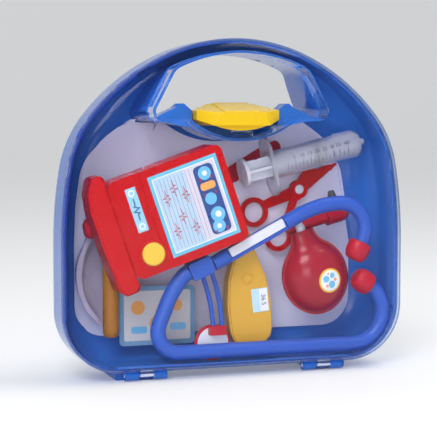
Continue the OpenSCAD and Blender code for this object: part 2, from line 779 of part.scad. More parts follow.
// Reflex hammer, in front of the kidney dish
hammer_y = 2.6;
hammer_at = [-101.6, 128];
hammer_turn = 12;
module hammer_handle() {
    color(amber) on_face(hammer_at[0], hammer_at[1], 0, hammer_y) {
        difference() {
            rotate([90, 0, 0]) translate([0, 0, 5]) cylinder(r = 5, h = 15);
            rotate([0, 0, hammer_turn]) rod_x(-20, 16, hammer_head_r + 0.05);
        }
        rotate([90, 0, 0]) {
            translate([0, 0, 18]) cylinder(r1 = 5, r2 = 6.6, h = 10);
            translate([0, 0, 28 - eps]) cylinder(r = 6.6, h = 62);
            translate([0, 0, 90 - eps]) cylinder(r1 = 6.6, r2 = 5, h = 4);
        }
    }
}
module hammer_head() {
    color(red) on_face(hammer_at[0], hammer_at[1], hammer_turn, hammer_y) {
        rod_x(-20, 16, hammer_head_r);
        translate([-20 + eps, 0, 0]) rotate([0, -90, 0])
            cylinder(r1 = hammer_head_r, r2 = hammer_head_r - 3, h = 3);
        translate([16 - eps, 0, 0]) rotate([0, 90, 0]) cylinder(r1 = hammer_head_r, r2 = 4, h = 8);
    }
}

// Kidney dish, open to the front
dish_at = [-75.5, 84];
dish_front = 12.8;
dish_back = 32.8;
dish_mid_r = 34;
dish_half = dish_r - dish_mid_r;
module dish_2d(d) {
    intersection() {
        difference() {
            circle(r = dish_r - d, $fn = 96);
            circle(r = dish_mid_r - dish_half + d, $fn = 64);
        }
        polygon([[0, 0], polar(90, 10), [-90, 90], [-90, -90], polar(90, 170)]);
    }
    for (a = [10, 170]) translate(polar(dish_mid_r, a)) circle(r = dish_half - d);
}
module kidney_dish() {
    color(white) on_face(dish_at[0], dish_at[1], 0, dish_back) difference() {
        union() {
            linear_extrude(dish_back - dish_front) dish_2d(3);
            translate([0, 0, dish_back - dish_front - 1.6]) linear_extrude(1.6) dish_2d(0);
        }
        translate([0, 0, 1.6]) linear_extrude(40) dish_2d(4.6);
    }
}

module play_card() {
    color([0.65, 0.8, 0.92]) on_face(-92, 24, 0, 12) linear_extrude(0.6) round_rect(0, 0, 66, 50, 4);
}

// Scissors, flat against the liner behind the syringe
scissors_at = [75, 152];
scissors_y = 31.4;
half_t = 2.6;
scissors_gap = 0.35;
fixed_turn = 33;
moving_turn = 57;
module scissors_half(side) {
    difference() {
        linear_extrude(half_t) {
            polygon([[-8, -5.5], [10, -5.5], [blade_l - 2, -side * 0.6 - 0.8], [blade_l, 0],
                [blade_l - 6, 2.4], [10, 5.5], [-8, 5.5]]);
            circle(r = 8);
            polygon([[-6, -side - 4.5], [-6, side + 4.5], [-32, side * 6 + 3.4], [-36, side * 6 - 3.4]]);
            translate([-45, side * 6]) circle(r = 13);
        }
        translate([-45, side * 6, -1]) cylinder(r = 8.6, h = half_t + 2);
        translate([0, 0, -1]) cylinder(r = 2 + fit, h = half_t + 2);
    }
}
module scissors_fixed_half() {
    color(red) on_face(scissors_at[0], scissors_at[1], fixed_turn, scissors_y) scissors_half(1);
}
module scissors_moving_half() {
    color(red) on_face(scissors_at[0], scissors_at[1], moving_turn, scissors_y - half_t - scissors_gap)
        scissors_half(-1);
}
module scissors_rivet() {
    color(white) on_face(scissors_at[0], scissors_at[1], 0, scissors_y) {
        translate([0, 0, -1]) cylinder(r = 2, h = 2 * half_t + scissors_gap + 1.5);
        translate([0, 0, 2 * half_t + scissors_gap + 0.1]) cylinder(r1 = 4, r2 = 2.6, h = 1);
        translate([0, 0, -1.1]) cylinder(r1 = 3, r2 = 4, h = 1);
    }
}

// Otoscope behind the hook of the ear tube
otoscope_at = [104, 131];
otoscope_turn = 16;
otoscope_y = 16;
module on_otoscope() { on_face(otoscope_at[0], otoscope_at[1], otoscope_turn, otoscope_y) children(); }
module otoscope_handle() {
    color(red) on_otoscope() {
        rod_x(-42, -9.05, 6);
        translate([-42 + eps, 0, 0]) rotate([0, -90, 0]) cylinder(r1 = 6, r2 = 4, h = 3);
    }
}
module otoscope_head() {
    color(red) on_otoscope() {
        rod_x(-9, 10, 8.5);
        translate([10 - eps, 0, 0]) rotate([0, 90, 0]) cylinder(r1 = 8.5, r2 = 5, h = 4);
    }
}
module otoscope_cone() {
    color(grey) on_otoscope() difference() {
        translate([2, 5, 0]) rotate([-90, 0, 0]) cylinder(r1 = 7, r2 = 2.6, h = 15);
        rod_x(-9, 12, 8.55);
        translate([2, 9, 0]) rotate([-90, 0, 0]) cylinder(r1 = 4.6, r2 = 1.4, h = 12);
    }
}

stick_at = [36, 178.5];
stick_turn = 30;
stick_y = 32.8;
module tongue_stick() {
    color(red) on_face(stick_at[0], stick_at[1], stick_turn, stick_y) linear_extrude(2.4)
        round_rect(-38, -7, 26, 7, 6.9);
}

rear_shell();
front_cover();
hinge_pins();
latch();
back_liner();
monitor_front_shell();
monitor_back_shell();
monitor_grip();
monitor_button();
monitor_leaf_spring();
monitor_chart_label();
monitor_strip_label();
monitor_screws();
syringe_barrel();
syringe_plunger();
syringe_seal();
stethoscope_yoke();
stethoscope_upper_arm();
stethoscope_arm_inlay();
stethoscope_lower_tube();
ear_tip_upper();
ear_tip_lower();
stethoscope_twin_tube();
chest_bell();
chest_diaphragm();
thermometer_body();
thermometer_probe();
thermometer_label();
pump_front_half();
pump_back_half();
pump_nozzle();
pump_dial_label();
hammer_handle();
hammer_head();
kidney_dish();
play_card();
scissors_fixed_half();
scissors_moving_half();
scissors_rivet();
otoscope_handle();
otoscope_head();
otoscope_cone();
tongue_stick();
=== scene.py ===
"""Looks of a toy doctor case: glossy shells, a clear cover and the play instruments stored inside.

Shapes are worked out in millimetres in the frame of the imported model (X right, Y back, Z up) and turned
into metres when a piece is made. Each sub-assembly is a class that builds its meshes and dresses them.
"""

from __future__ import annotations

import json
import logging
import math
from dataclasses import dataclass, field
from enum import Enum
from typing import Iterable, Sequence

import bmesh
import bpy
from mathutils import Matrix, Vector

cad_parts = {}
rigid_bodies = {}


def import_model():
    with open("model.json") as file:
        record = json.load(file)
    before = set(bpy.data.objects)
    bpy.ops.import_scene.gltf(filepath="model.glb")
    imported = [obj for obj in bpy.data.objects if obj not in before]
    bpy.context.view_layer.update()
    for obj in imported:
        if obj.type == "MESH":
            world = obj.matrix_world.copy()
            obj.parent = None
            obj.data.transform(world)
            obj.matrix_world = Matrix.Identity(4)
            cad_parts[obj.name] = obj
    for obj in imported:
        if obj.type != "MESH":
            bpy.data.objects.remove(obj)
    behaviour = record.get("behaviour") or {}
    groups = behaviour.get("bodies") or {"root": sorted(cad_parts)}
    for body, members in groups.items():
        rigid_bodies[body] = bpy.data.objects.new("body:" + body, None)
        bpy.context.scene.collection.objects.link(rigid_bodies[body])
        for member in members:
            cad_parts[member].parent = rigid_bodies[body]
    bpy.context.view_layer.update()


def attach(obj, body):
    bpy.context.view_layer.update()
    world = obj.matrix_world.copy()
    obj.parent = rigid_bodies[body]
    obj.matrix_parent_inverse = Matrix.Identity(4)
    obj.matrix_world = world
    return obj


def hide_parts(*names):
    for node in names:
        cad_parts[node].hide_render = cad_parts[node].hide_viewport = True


LOG = logging.getLogger("toy_doctor_case")
MM = 0.001
Flat = tuple[float, float]
Spot = tuple[float, float, float]
Colour = tuple[float, float, float]


class Body(str, Enum):
    """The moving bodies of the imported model."""

    CASE = "case"
    COVER = "cover"
    LATCH = "latch"
    BUTTON = "button"
    PLUNGER = "plunger"
    BLADE = "blade"


class Cut(str, Enum):
    """How one solid is combined with others."""

    JOIN = "UNION"
    REMOVE = "DIFFERENCE"
    COMMON = "INTERSECT"


def polar(radius: float, angle: float) -> Flat:
    """Gives the offset of a point at an angle in degrees from straight up, turning to the right."""
    return (radius * math.sin(math.radians(angle)), radius * math.cos(math.radians(angle)))


def shifted(point: Flat, by: Flat) -> Flat:
    """Adds two flat points."""
    return (point[0] + by[0], point[1] + by[1])


def arc(centre: Flat, radius: float, start: float, end: float, steps: int, first: int = 1) -> list[Flat]:
    """Samples an arc of the outline.

    Args:
        centre: Centre of the arc.
        radius: Radius of the arc.
        start: Angle of the outward normal at the start, in degrees from straight up.
        end: Angle of the outward normal at the end.
        steps: Number of chords.
        first: 1 leaves out the start point, 0 keeps it.

    Returns:
        The points in order.
    """
    turn = (end - start) / steps
    return [shifted(centre, polar(radius, start + turn * i)) for i in range(first, steps + 1)]


def mirrored(half: Sequence[Flat]) -> list[Flat]:
    """Gives the left half of an outline from its right half, without the two shared points."""
    return [(-x, z) for x, z in reversed(half[1:-1])]


def inside(point: Flat, loop: Sequence[Flat]) -> bool:
    """Tells whether a point lies inside a closed outline."""
    crossed = False
    for (x0, z0), (x1, z1) in zip(loop, [*loop[1:], loop[0]]):
        if (z0 > point[1]) != (z1 > point[1]) and point[0] < x0 + (point[1] - z0) * (x1 - x0) / (z1 - z0):
            crossed = not crossed
    return crossed


def face(x: float, z: float, turn: float, y: float) -> Matrix:
    """Gives the frame of a piece that faces the front: its own X right, Y up and Z to the front.

    Args:
        x: Place of its origin to the right.
        z: Place of its origin over the floor.
        turn: Turn in degrees, counter-clockwise seen from the front.
        y: Depth of its back.

    Returns:
        The matrix from the piece's own millimetres to those of the case.
    """
    stand = Matrix.Translation((x, y, z)) @ Matrix.Rotation(math.radians(90), 4, "X")
    return stand @ Matrix.Rotation(math.radians(turn), 4, "Z")


class Solid:
    """A closed mesh in millimetres that pieces are cut and joined from."""

    def __init__(self, mesh: bpy.types.Mesh) -> None:
        """Keeps the mesh."""
        self.mesh = mesh

    @classmethod
    def from_bmesh(cls, bm: bmesh.types.BMesh) -> "Solid":
        """Makes a solid from a bmesh, with its normals outwards, and frees the bmesh."""
        bmesh.ops.recalc_face_normals(bm, faces=bm.faces)
        mesh = bpy.data.meshes.new("solid")
        bm.to_mesh(mesh)
        bm.free()
        return cls(mesh)

    @classmethod
    def loft(cls, rings: Sequence[Sequence[Spot]]) -> "Solid":
        """Skins rings of equal point count and closes both ends."""
        bm = bmesh.new()
        loops = [[bm.verts.new(p) for p in ring] for ring in rings]
        count = len(loops[0])
        for low, high in zip(loops, loops[1:]):
            for i in range(count):
                j = (i + 1) % count
                bm.faces.new((low[i], low[j], high[j], high[i]))
        bm.faces.new(loops[0])
        bm.faces.new(loops[-1])
        return cls.from_bmesh(bm)

    @classmethod
    def prism(cls, loop: Sequence[Flat], low: float, high: float) -> "Solid":
        """Stands a flat outline up in the XZ plane, from y = low back to y = high."""
        return cls.loft([[(x, y, z) for x, z in loop] for y in (low, high)])

    @classmethod
    def slab(cls, loop: Sequence[Flat], low: float, high: float) -> "Solid":
        """Extrudes a flat outline along its own Z, for pieces that are drawn in a face frame."""
        return cls.loft([[(x, y, z) for x, y in loop] for z in (low, high)])

    @classmethod
    def block(cls, low: Spot, high: Spot) -> "Solid":
        """Makes a box from its lowest to its highest corner."""
        corners = [(low[0], low[1]), (high[0], low[1]), (high[0], high[1]), (low[0], high[1])]
        return cls.slab(corners, low[2], high[2])

    @classmethod
    def turned(cls, profile: Sequence[Flat], segments: int = 64, flat: float = 1.0) -> "Solid":
        """Turns a profile of (radius, height) round Z.

        Args:
            profile: Points from the bottom to the top, both ends on the axis or joined by a flat cap.
            segments: Number of steps round.
            flat: Factor on the depth, for a flattened form.

        Returns:
            The closed solid.
        """
        bm = bmesh.new()
        rings = []
        for radius, height in profile:
            if radius < 1e-4:
                rings.append([bm.verts.new((0, 0, height))])
                continue
            around = [2 * math.pi * k / segments for k in range(segments)]
            ring = [(radius * math.cos(a), flat * radius * math.sin(a), height) for a in around]
            rings.append([bm.verts.new(spot) for spot in ring])
        for low, high in zip(rings, rings[1:]):
            for i in range(segments):
                j = (i + 1) % segments
                corners = [low[i % len(low)], low[j % len(low)], high[j % len(high)], high[i % len(high)]]
                unique = [v for k, v in enumerate(corners) if v not in corners[:k]]
                if len(unique) > 2:
                    bm.faces.new(unique)
        for ring in (rings[0], rings[-1]):
            if len(ring) > 2:
                bm.faces.new(ring)
        return cls.from_bmesh(bm)

    @classmethod
    def rod_x(cls, start: float, end: float, radius: float, segments: int = 48) -> "Solid":
        """Makes a rod along X about the X axis."""
        rod = cls.turned([(radius, start), (radius, end)], segments)
        return rod.moved(Matrix.Rotation(math.radians(90), 4, "Y"))

    @classmethod
    def of_node(cls, node: str) -> "Solid":
        """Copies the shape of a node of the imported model, with its flat faces whole again."""
        bm = bmesh.new()
        bm.from_mesh(bpy.data.objects[node].data)
        bmesh.ops.scale(bm, vec=(1 / MM,) * 3, verts=bm.verts)
        bmesh.ops.remove_doubles(bm, verts=bm.verts, dist=0.004)
        bmesh.ops.dissolve_limit(bm, angle_limit=math.radians(0.5), verts=bm.verts, edges=bm.edges)
        return cls.from_bmesh(bm)

    def moved(self, matrix: Matrix) -> "Solid":
        """Moves the solid in place."""
        self.mesh.transform(matrix)
        if matrix.determinant() < 0:
            self.mesh.flip_normals()
        return self

    def copy(self) -> "Solid":
        """Gives a second solid of the same shape."""
        return Solid(self.mesh.copy())

    def combined(self, how: Cut, others: Iterable["Solid"]) -> "Solid":
        """Combines the solid with others by an exact boolean and gives the result."""
        scene = bpy.context.scene.collection
        group = bpy.data.collections.new("tools")
        scene.children.link(group)
        for other in others:
            group.objects.link(bpy.data.objects.new("tool", other.mesh))
        base = bpy.data.objects.new("base", self.mesh)
        scene.objects.link(base)
        step = base.modifiers.new("combine", "BOOLEAN")
        step.operation = how.value
        step.operand_type = "COLLECTION"
        step.collection = group
        step.solver = "EXACT"
        result = Solid.evaluated(base)
        for tool in list(group.objects):
            bpy.data.objects.remove(tool)
        bpy.data.collections.remove(group)
        return result

    def join(self, *others: "Solid") -> "Solid":
        """Gives the union with other solids."""
        return self.combined(Cut.JOIN, others)

    def cut(self, *others: "Solid") -> "Solid":
        """Gives what is left after other solids are taken away."""
        return self.combined(Cut.REMOVE, others)

    def softened(self, width: float, segments: int = 2, angle: float = 35.0) -> "Solid":
        """Rounds the sharp edges.

        Args:
            width: Width of the rounding.
            segments: Number of steps across it.
            angle: Edges that turn by more than this many degrees are rounded.

        Returns:
            The rounded solid.
        """
        base = bpy.data.objects.new("base", self.mesh)
        bpy.context.scene.collection.objects.link(base)
        step = base.modifiers.new("edges", "BEVEL")
        step.width = width
        step.segments = segments
        step.limit_method = "ANGLE"
        step.angle_limit = math.radians(angle)
        step.harden_normals = False
        return Solid.evaluated(base)

    @staticmethod
    def evaluated(base: bpy.types.Object) -> "Solid":
        """Applies the modifiers of a scratch object and removes it."""
        graph = bpy.context.evaluated_depsgraph_get()
        mesh = bpy.data.meshes.new_from_object(base.evaluated_get(graph))
        bpy.data.objects.remove(base)
        return Solid(mesh)

    def shaded(self, angle: float = 32.0) -> "Solid":
        """Shades the solid smooth, with edges kept sharp above an angle in degrees."""
        self.mesh.shade_smooth()
        self.mesh.set_sharp_from_angle(angle=math.radians(angle))
        base = bpy.data.objects.new("base", self.mesh)
        bpy.context.scene.collection.objects.link(base)
        step = base.modifiers.new("faces", "WEIGHTED_NORMAL")
        step.keep_sharp = True
        return Solid.evaluated(base)

    def marked(self, name: str, loop: Sequence[Flat]) -> "Solid":
        """Marks the points that lie outside an outline with one and those inside it with zero."""
        mark = self.mesh.attributes.new(name, "FLOAT", "POINT")
        for vertex, value in zip(self.mesh.vertices, mark.data):
            value.value = 0.0 if inside((vertex.co.x, vertex.co.z), loop) else 1.0
        return self


def merged(solids: Sequence[Solid]) -> Solid:
    """Puts separate solids that don't touch into one mesh."""
    bm = bmesh.new()
    for solid in solids:
        bm.from_mesh(solid.mesh)
    mesh = bpy.data.meshes.new("solid")
    bm.to_mesh(mesh)
    bm.free()
    return Solid(mesh)


def rounded_box(low: Flat, high: Flat, radius: float, steps: int = 6) -> list[Flat]:
    """Outlines a rectangle with round corners, clockwise from its top right corner."""
    inner = [
        (high[0] - radius, high[1] - radius, 0),
        (high[0] - radius, low[1] + radius, 90),
        (low[0] + radius, low[1] + radius, 180),
        (low[0] + radius, high[1] - radius, 270),
    ]
    points: list[Flat] = []
    for x, y, start in inner:
        points += arc((x, y), radius, start, start + 90, steps, 0)
    return points


def round_loop(centre: Flat, radius: float, steps: int = 32) -> list[Flat]:
    """Outlines a circle."""
    return [shifted(centre, polar(radius, 360 * i / steps)) for i in range(steps)]


def stroke(points: Sequence[Flat], width: float, low: float, high: float) -> Solid:
    """Draws a line of constant width with mitred corners, as a thin solid in a face frame.

    Args:
        points: The corners of the stroke's middle line.
        width: Width of the stroke.
        low: Height of its back.
        high: Height of its face.

    Returns:
        The stroke.
    """
    sharpest = 0.35
    rings = []
    for i, point in enumerate(points):
        here = Vector(point)
        ways = []
        if i > 0:
            ways.append((here - Vector(points[i - 1])).normalized())
        if i < len(points) - 1:
            ways.append((Vector(points[i + 1]) - here).normalized())
        sides = [Vector((-way.y, way.x)) for way in ways]
        middle = (sides[0] + sides[-1]).normalized()
        reach = width / 2 / max(middle.dot(sides[0]), sharpest)
        left, right = here + middle * reach, here - middle * reach
        near, far = (left.x, left.y), (right.x, right.y)
        rings.append([(*near, low), (*far, low), (*far, high), (*near, high)])
    return Solid.loft(rings)


def words(text: str, size: float, depth: float, at: Flat, turn: float = 0.0) -> Solid:
    """Writes plain numbers as a solid in a face frame.

    Args:
        text: The figures.
        size: Height of the type.
        depth: Thickness of the print.
        at: Middle of the text.
        turn: Turn in degrees.

    Returns:
        The figures as one solid, with their back at zero.
    """
    curve = bpy.data.curves.new("figures", "FONT")
    curve.body = text
    curve.size = size
    curve.extrude = depth / 2
    curve.align_x = "CENTER"
    curve.align_y = "CENTER"
    curve.resolution_u = 3
    holder = bpy.data.objects.new("figures", curve)
    bpy.context.scene.collection.objects.link(holder)
    figures = Solid.evaluated(holder)
    bpy.data.curves.remove(curve)
    place = Matrix.Translation((at[0], at[1], depth / 2))
    return figures.moved(place @ Matrix.Rotation(math.radians(turn), 4, "Z"))


class NodeGroups:
    """The shader effects that several materials share, each built once."""

    def __init__(self) -> None:
        """Builds the groups."""
        self.moulding = self._moulding()
        self.grain = self._grain()

    @staticmethod
    def _sockets(tree: bpy.types.ShaderNodeTree, inputs: dict[str, str], outputs: dict[str, str]) -> None:
        """Gives a group its named inputs and outputs."""
        for name, kind in inputs.items():
            tree.interface.new_socket(name, in_out="INPUT", socket_type=kind)
        for name, kind in outputs.items():
            tree.interface.new_socket(name, in_out="OUTPUT", socket_type=kind)

    def _moulding(self) -> bpy.types.ShaderNodeTree:
        """Builds the drift of tone and gloss over a moulded surface."""
        tree = bpy.data.node_groups.new("moulding_drift", "ShaderNodeTree")
        self._sockets(
            tree,
            {
                "Colour": "NodeSocketColor",
                "Shade": "NodeSocketColor",
                "Scale": "NodeSocketFloat",
                "Amount": "NodeSocketFloat",
                "Rough low": "NodeSocketFloat",
                "Rough high": "NodeSocketFloat",
            },
            {"Colour": "NodeSocketColor", "Roughness": "NodeSocketFloat"},
        )
        nodes, links = tree.nodes, tree.links
        given = nodes.new("NodeGroupInput")
        result = nodes.new("NodeGroupOutput")
        place = nodes.new("ShaderNodeTexCoord")
        clouds = nodes.new("ShaderNodeTexNoise")
        clouds.inputs["Detail"].default_value = 3.0
        links.new(place.outputs["Object"], clouds.inputs["Vector"])
        links.new(given.outputs["Scale"], clouds.inputs["Scale"])
        weight = nodes.new("ShaderNodeMath")
        weight.operation = "MULTIPLY"
        links.new(clouds.outputs["Fac"], weight.inputs[0])
        links.new(given.outputs["Amount"], weight.inputs[1])
        blend = nodes.new("ShaderNodeMix")
        blend.data_type = "RGBA"
        links.new(weight.outputs[0], blend.inputs["Factor"])
        links.new(given.outputs["Colour"], blend.inputs["A"])
        links.new(given.outputs["Shade"], blend.inputs["B"])
        links.new(blend.outputs["Result"], result.inputs["Colour"])
        smudge = nodes.new("ShaderNodeTexNoise")
        smudge.inputs["Scale"].default_value = 34.0
        smudge.inputs["Detail"].default_value = 4.0
        links.new(place.outputs["Object"], smudge.inputs["Vector"])
        gloss = nodes.new("ShaderNodeMapRange")
        gloss.inputs["From Min"].default_value = 0.35
        gloss.inputs["From Max"].default_value = 0.65
        links.new(smudge.outputs["Fac"], gloss.inputs["Value"])
        links.new(given.outputs["Rough low"], gloss.inputs["To Min"])
        links.new(given.outputs["Rough high"], gloss.inputs["To Max"])
        links.new(gloss.outputs["Result"], result.inputs["Roughness"])
        return tree

    def _grain(self) -> bpy.types.ShaderNodeTree:
        """Builds the height of a fine moulded or printed grain."""
        tree = bpy.data.node_groups.new("fine_grain", "ShaderNodeTree")
        self._sockets(
            tree,
            {"Scale": "NodeSocketFloat", "Ripple": "NodeSocketFloat"},
            {"Height": "NodeSocketFloat"},
        )
        nodes, links = tree.nodes, tree.links
        given = nodes.new("NodeGroupInput")
        result = nodes.new("NodeGroupOutput")
        place = nodes.new("ShaderNodeTexCoord")
        fine = nodes.new("ShaderNodeTexNoise")
        fine.inputs["Detail"].default_value = 2.0
        links.new(place.outputs["Object"], fine.inputs["Vector"])
        links.new(given.outputs["Scale"], fine.inputs["Scale"])
        swell = nodes.new("ShaderNodeTexNoise")
        swell.inputs["Scale"].default_value = 26.0
        swell.inputs["Detail"].default_value = 0.0
        links.new(place.outputs["Object"], swell.inputs["Vector"])
        mixed = nodes.new("ShaderNodeMix")
        links.new(given.outputs["Ripple"], mixed.inputs["Factor"])
        links.new(fine.outputs["Fac"], mixed.inputs["A"])
        links.new(swell.outputs["Fac"], mixed.inputs["B"])
        links.new(mixed.outputs["Result"], result.inputs["Height"])
        return tree


# Mask of where the clear cover gets its painted rim reflection: one outside the hand window, zero on its
# walls.
PAINTED_REFLECTION_MASK = "painted_reflection_mask"


@dataclass(frozen=True)
class Finish:
    """A moulded plastic, rubber or print, with its colour in plain scene values."""

    slot: str
    colour: Colour
    shade: Colour
    name: str = ""
    amount: float = 0.35
    drift: float = 18.0
    rough: tuple[float, float] = (0.18, 0.28)
    coat: float = 0.0
    grain: float = 900.0
    grain_depth: float = 0.02
    ripple: float = 0.0
    metallic: float = 0.0
    transmission: float = 0.0
    shadow: float = 1.0
    subsurface: float = 0.0
    ior: float = 1.48
    # Colour of the painted reflection on walls seen edge on; None paints none.
    rim: Colour | None = None

    def material(self, groups: NodeGroups) -> bpy.types.Material:
        """Builds the material.

        Args:
            groups: The shared effects.

        Returns:
            The material of this finish.
        """
        material = bpy.data.materials.new((self.name or self.slot) + "_finish")
        material.use_nodes = True
        nodes, links = material.node_tree.nodes, material.node_tree.links
        shader = nodes["Principled BSDF"]
        drift = nodes.new("ShaderNodeGroup")
        drift.node_tree = groups.moulding
        drift.inputs["Colour"].default_value = (*self.colour, 1)
        drift.inputs["Shade"].default_value = (*self.shade, 1)
        drift.inputs["Scale"].default_value = self.drift
        drift.inputs["Amount"].default_value = self.amount
        drift.inputs["Rough low"].default_value = self.rough[0]
        drift.inputs["Rough high"].default_value = self.rough[1]
        tone = drift.outputs["Colour"]
        # Walls seen edge on get the painted rim reflection.
        if self.rim is not None:
            tone = self._painted_rim_reflection(material, tone)
        links.new(tone, shader.inputs["Base Color"])
        links.new(drift.outputs["Roughness"], shader.inputs["Roughness"])
        grain = nodes.new("ShaderNodeGroup")
        grain.node_tree = groups.grain
        grain.inputs["Scale"].default_value = self.grain
        grain.inputs["Ripple"].default_value = self.ripple
        bump = nodes.new("ShaderNodeBump")
        bump.inputs["Strength"].default_value = self.grain_depth
        bump.inputs["Distance"].default_value = 0.001
        links.new(grain.outputs["Height"], bump.inputs["Height"])
        links.new(bump.outputs["Normal"], shader.inputs["Normal"])
        shader.inputs["Metallic"].default_value = self.metallic
        shader.inputs["Coat Weight"].default_value = self.coat
        shader.inputs["Coat Roughness"].default_value = 0.06
        shader.inputs["IOR"].default_value = self.ior
        shader.inputs["Transmission Weight"].default_value = self.transmission
        shader.inputs["Subsurface Weight"].default_value = self.subsurface
        shader.inputs["Subsurface Scale"].default_value = 0.004
        if self.shadow < 1:
            self._pass_light(material, shader)
        return material

    def _painted_rim_reflection(self, material: bpy.types.Material, tone: bpy.types.NodeSocket) -> bpy.types.NodeSocket:
        """Paints a reflection into the colour of walls that are seen edge on: the blue of the shell that they
        stand on.

        Args:
            material: The material being built.
            tone: The colour of the flat face.

        Returns:
            The socket with the colour of the face and of the painted rim reflection.
        """
        nodes, links = material.node_tree.nodes, material.node_tree.links
        place = nodes.new("ShaderNodeTexCoord")
        split = nodes.new("ShaderNodeSeparateXYZ")
        links.new(place.outputs["Normal"], split.inputs["Vector"])
        facing = nodes.new("ShaderNodeMath")
        facing.operation = "ABSOLUTE"
        links.new(split.outputs["Y"], facing.inputs[0])
        edge = nodes.new("ShaderNodeMapRange")
        edge.interpolation_type = "SMOOTHSTEP"
        edge.inputs["From Min"].default_value = 0.15
        edge.inputs["From Max"].default_value = 0.75
        edge.inputs["To Min"].default_value = 1.0
        edge.inputs["To Max"].default_value = 0.0
        links.new(facing.outputs[0], edge.inputs["Value"])
        blend = nodes.new("ShaderNodeMix")
        blend.data_type = "RGBA"
        # The mask keeps the painted reflection off the walls of the hand window.
        outer = nodes.new("ShaderNodeAttribute")
        outer.attribute_name = PAINTED_REFLECTION_MASK
        mask = nodes.new("ShaderNodeMath")
        mask.operation = "MULTIPLY"
        links.new(edge.outputs["Result"], mask.inputs[0])
        links.new(outer.outputs["Fac"], mask.inputs[1])
        links.new(mask.outputs[0], blend.inputs["Factor"])
        links.new(tone, blend.inputs["A"])
        blend.inputs["B"].default_value = (*self.rim, 1)
        return blend.outputs["Result"]

    def _pass_light(self, material: bpy.types.Material, shader: bpy.types.ShaderNode) -> None:
        """Lets the lamps' light through a clear wall, so that what lies behind it is lit."""
        nodes, links = material.node_tree.nodes, material.node_tree.links
        path = nodes.new("ShaderNodeLightPath")
        level = nodes.new("ShaderNodeMapRange")
        level.inputs["To Min"].default_value = 1.0
        level.inputs["To Max"].default_value = self.shadow
        links.new(path.outputs["Is Shadow Ray"], level.inputs["Value"])
        links.new(level.outputs["Result"], shader.inputs["Alpha"])


CASE_BLUE = Finish(
    "case_blue", (0.028, 0.165, 0.62), (0.018, 0.12, 0.5), coat=0.25, rough=(0.14, 0.22), ior=1.36,
)
# The clear cover's rim colour is a painted reflection of the blue back shell on its walls seen edge on.
CASE_CLEAR = Finish(
    "case_clear", (0.96, 0.97, 1.0), (0.94, 0.96, 1.0), rough=(0.02, 0.04), grain_depth=0.01, ripple=1.0,
    transmission=1.0, shadow=0.06, coat=0.12, ior=1.13, rim=(0.05, 0.15, 0.52),
)
LATCH_YELLOW = Finish(
    "latch_yellow", (0.95, 0.62, 0.004), (0.9, 0.52, 0.004), coat=0.2, rough=(0.2, 0.3), ior=1.36,
)
LINER = Finish("liner_lavender", (0.87, 0.84, 0.99), (0.7, 0.66, 0.88), amount=0.7, drift=9.0, ripple=0.6,
               rough=(0.3, 0.42), grain_depth=0.12)
TOY_RED = Finish(
    "toy_red", (0.56, 0.003, 0.007), (0.45, 0.002, 0.007), coat=0.1, rough=(0.22, 0.34), ior=1.24,
)
BUTTON_YELLOW = Finish("button_yellow", (0.86, 0.55, 0.05), (0.78, 0.46, 0.04), rough=(0.3, 0.4))
STEEL = Finish("bright_steel", (0.6, 0.6, 0.62), (0.5, 0.5, 0.53), metallic=1.0, rough=(0.2, 0.34))
BARREL = Finish(
    "syringe_barrel", (0.86, 0.86, 0.93), (0.8, 0.8, 0.9), rough=(0.14, 0.22), transmission=0.72, shadow=0.4,
)
WHITE = Finish("white_plastic", (0.78, 0.78, 0.86), (0.7, 0.7, 0.8), rough=(0.24, 0.34), subsurface=0.1)
SEAL = Finish("seal_rubber", (0.06, 0.055, 0.065), (0.1, 0.09, 0.1), rough=(0.5, 0.65), grain_depth=0.08)
TUBE_BLUE = Finish("tube_blue", (0.03, 0.105, 0.5), (0.02, 0.07, 0.4), rough=(0.28, 0.4), coat=0.1, ior=1.36)
TIP_RED = Finish("tip_red", (0.5, 0.008, 0.03), (0.4, 0.006, 0.025), rough=(0.26, 0.36), ior=1.33)
PUMP_RED = Finish(
    "pump_red", (0.37, 0.006, 0.024), (0.28, 0.005, 0.02), rough=(0.18, 0.28), coat=0.25, ior=1.33,
)
THERMO_YELLOW = Finish(
    "thermometer_yellow", (0.72, 0.4, 0.05), (0.64, 0.33, 0.04), rough=(0.3, 0.4), ior=1.36,
)
# The handle is amber; its colour is darkened to a brown as painted shade.
HAMMER_AMBER_IN_PAINTED_SHADE = Finish("hammer_amber", (0.36, 0.14, 0.012), (0.3, 0.11, 0.01), rough=(0.3, 0.42), ior=1.36)
# The dish is white; its colour is darkened to a grey lavender as painted shade.
DISH_IN_PAINTED_SHADE = Finish("dish_white", (0.44, 0.38, 0.52), (0.36, 0.31, 0.45), rough=(0.2, 0.3), coat=0.2)
PAPER_BLUE = Finish("chart_label", (0.14, 0.5, 0.7), (0.2, 0.56, 0.74), name="label_blue", rough=(0.24, 0.3))
PAPER_PALE = Finish("chart_label", (0.66, 0.66, 0.78), (0.72, 0.64, 0.72), name="label_pale", amount=1.0,
                    drift=14.0, rough=(0.24, 0.3))
PAPER_COOL = Finish("chart_label", (0.36, 0.6, 0.76), (0.56, 0.66, 0.78), name="label_cool", amount=1.0,
                    drift=14.0, rough=(0.24, 0.3))
PAPER_WHITE = Finish(
    "chart_label", (0.84, 0.86, 0.93), (0.8, 0.82, 0.9), name="label_white", rough=(0.24, 0.3),
)
INK_NAVY = Finish("chart_label", (0.025, 0.07, 0.26), (0.03, 0.09, 0.3), name="ink_navy", rough=(0.26, 0.32))
INK_GREY = Finish("chart_label", (0.26, 0.22, 0.34), (0.3, 0.26, 0.38), name="ink_grey", rough=(0.26, 0.32))
INK_RED = Finish("chart_label", (0.56, 0.03, 0.05), (0.5, 0.03, 0.05), name="ink_red", rough=(0.26, 0.32))
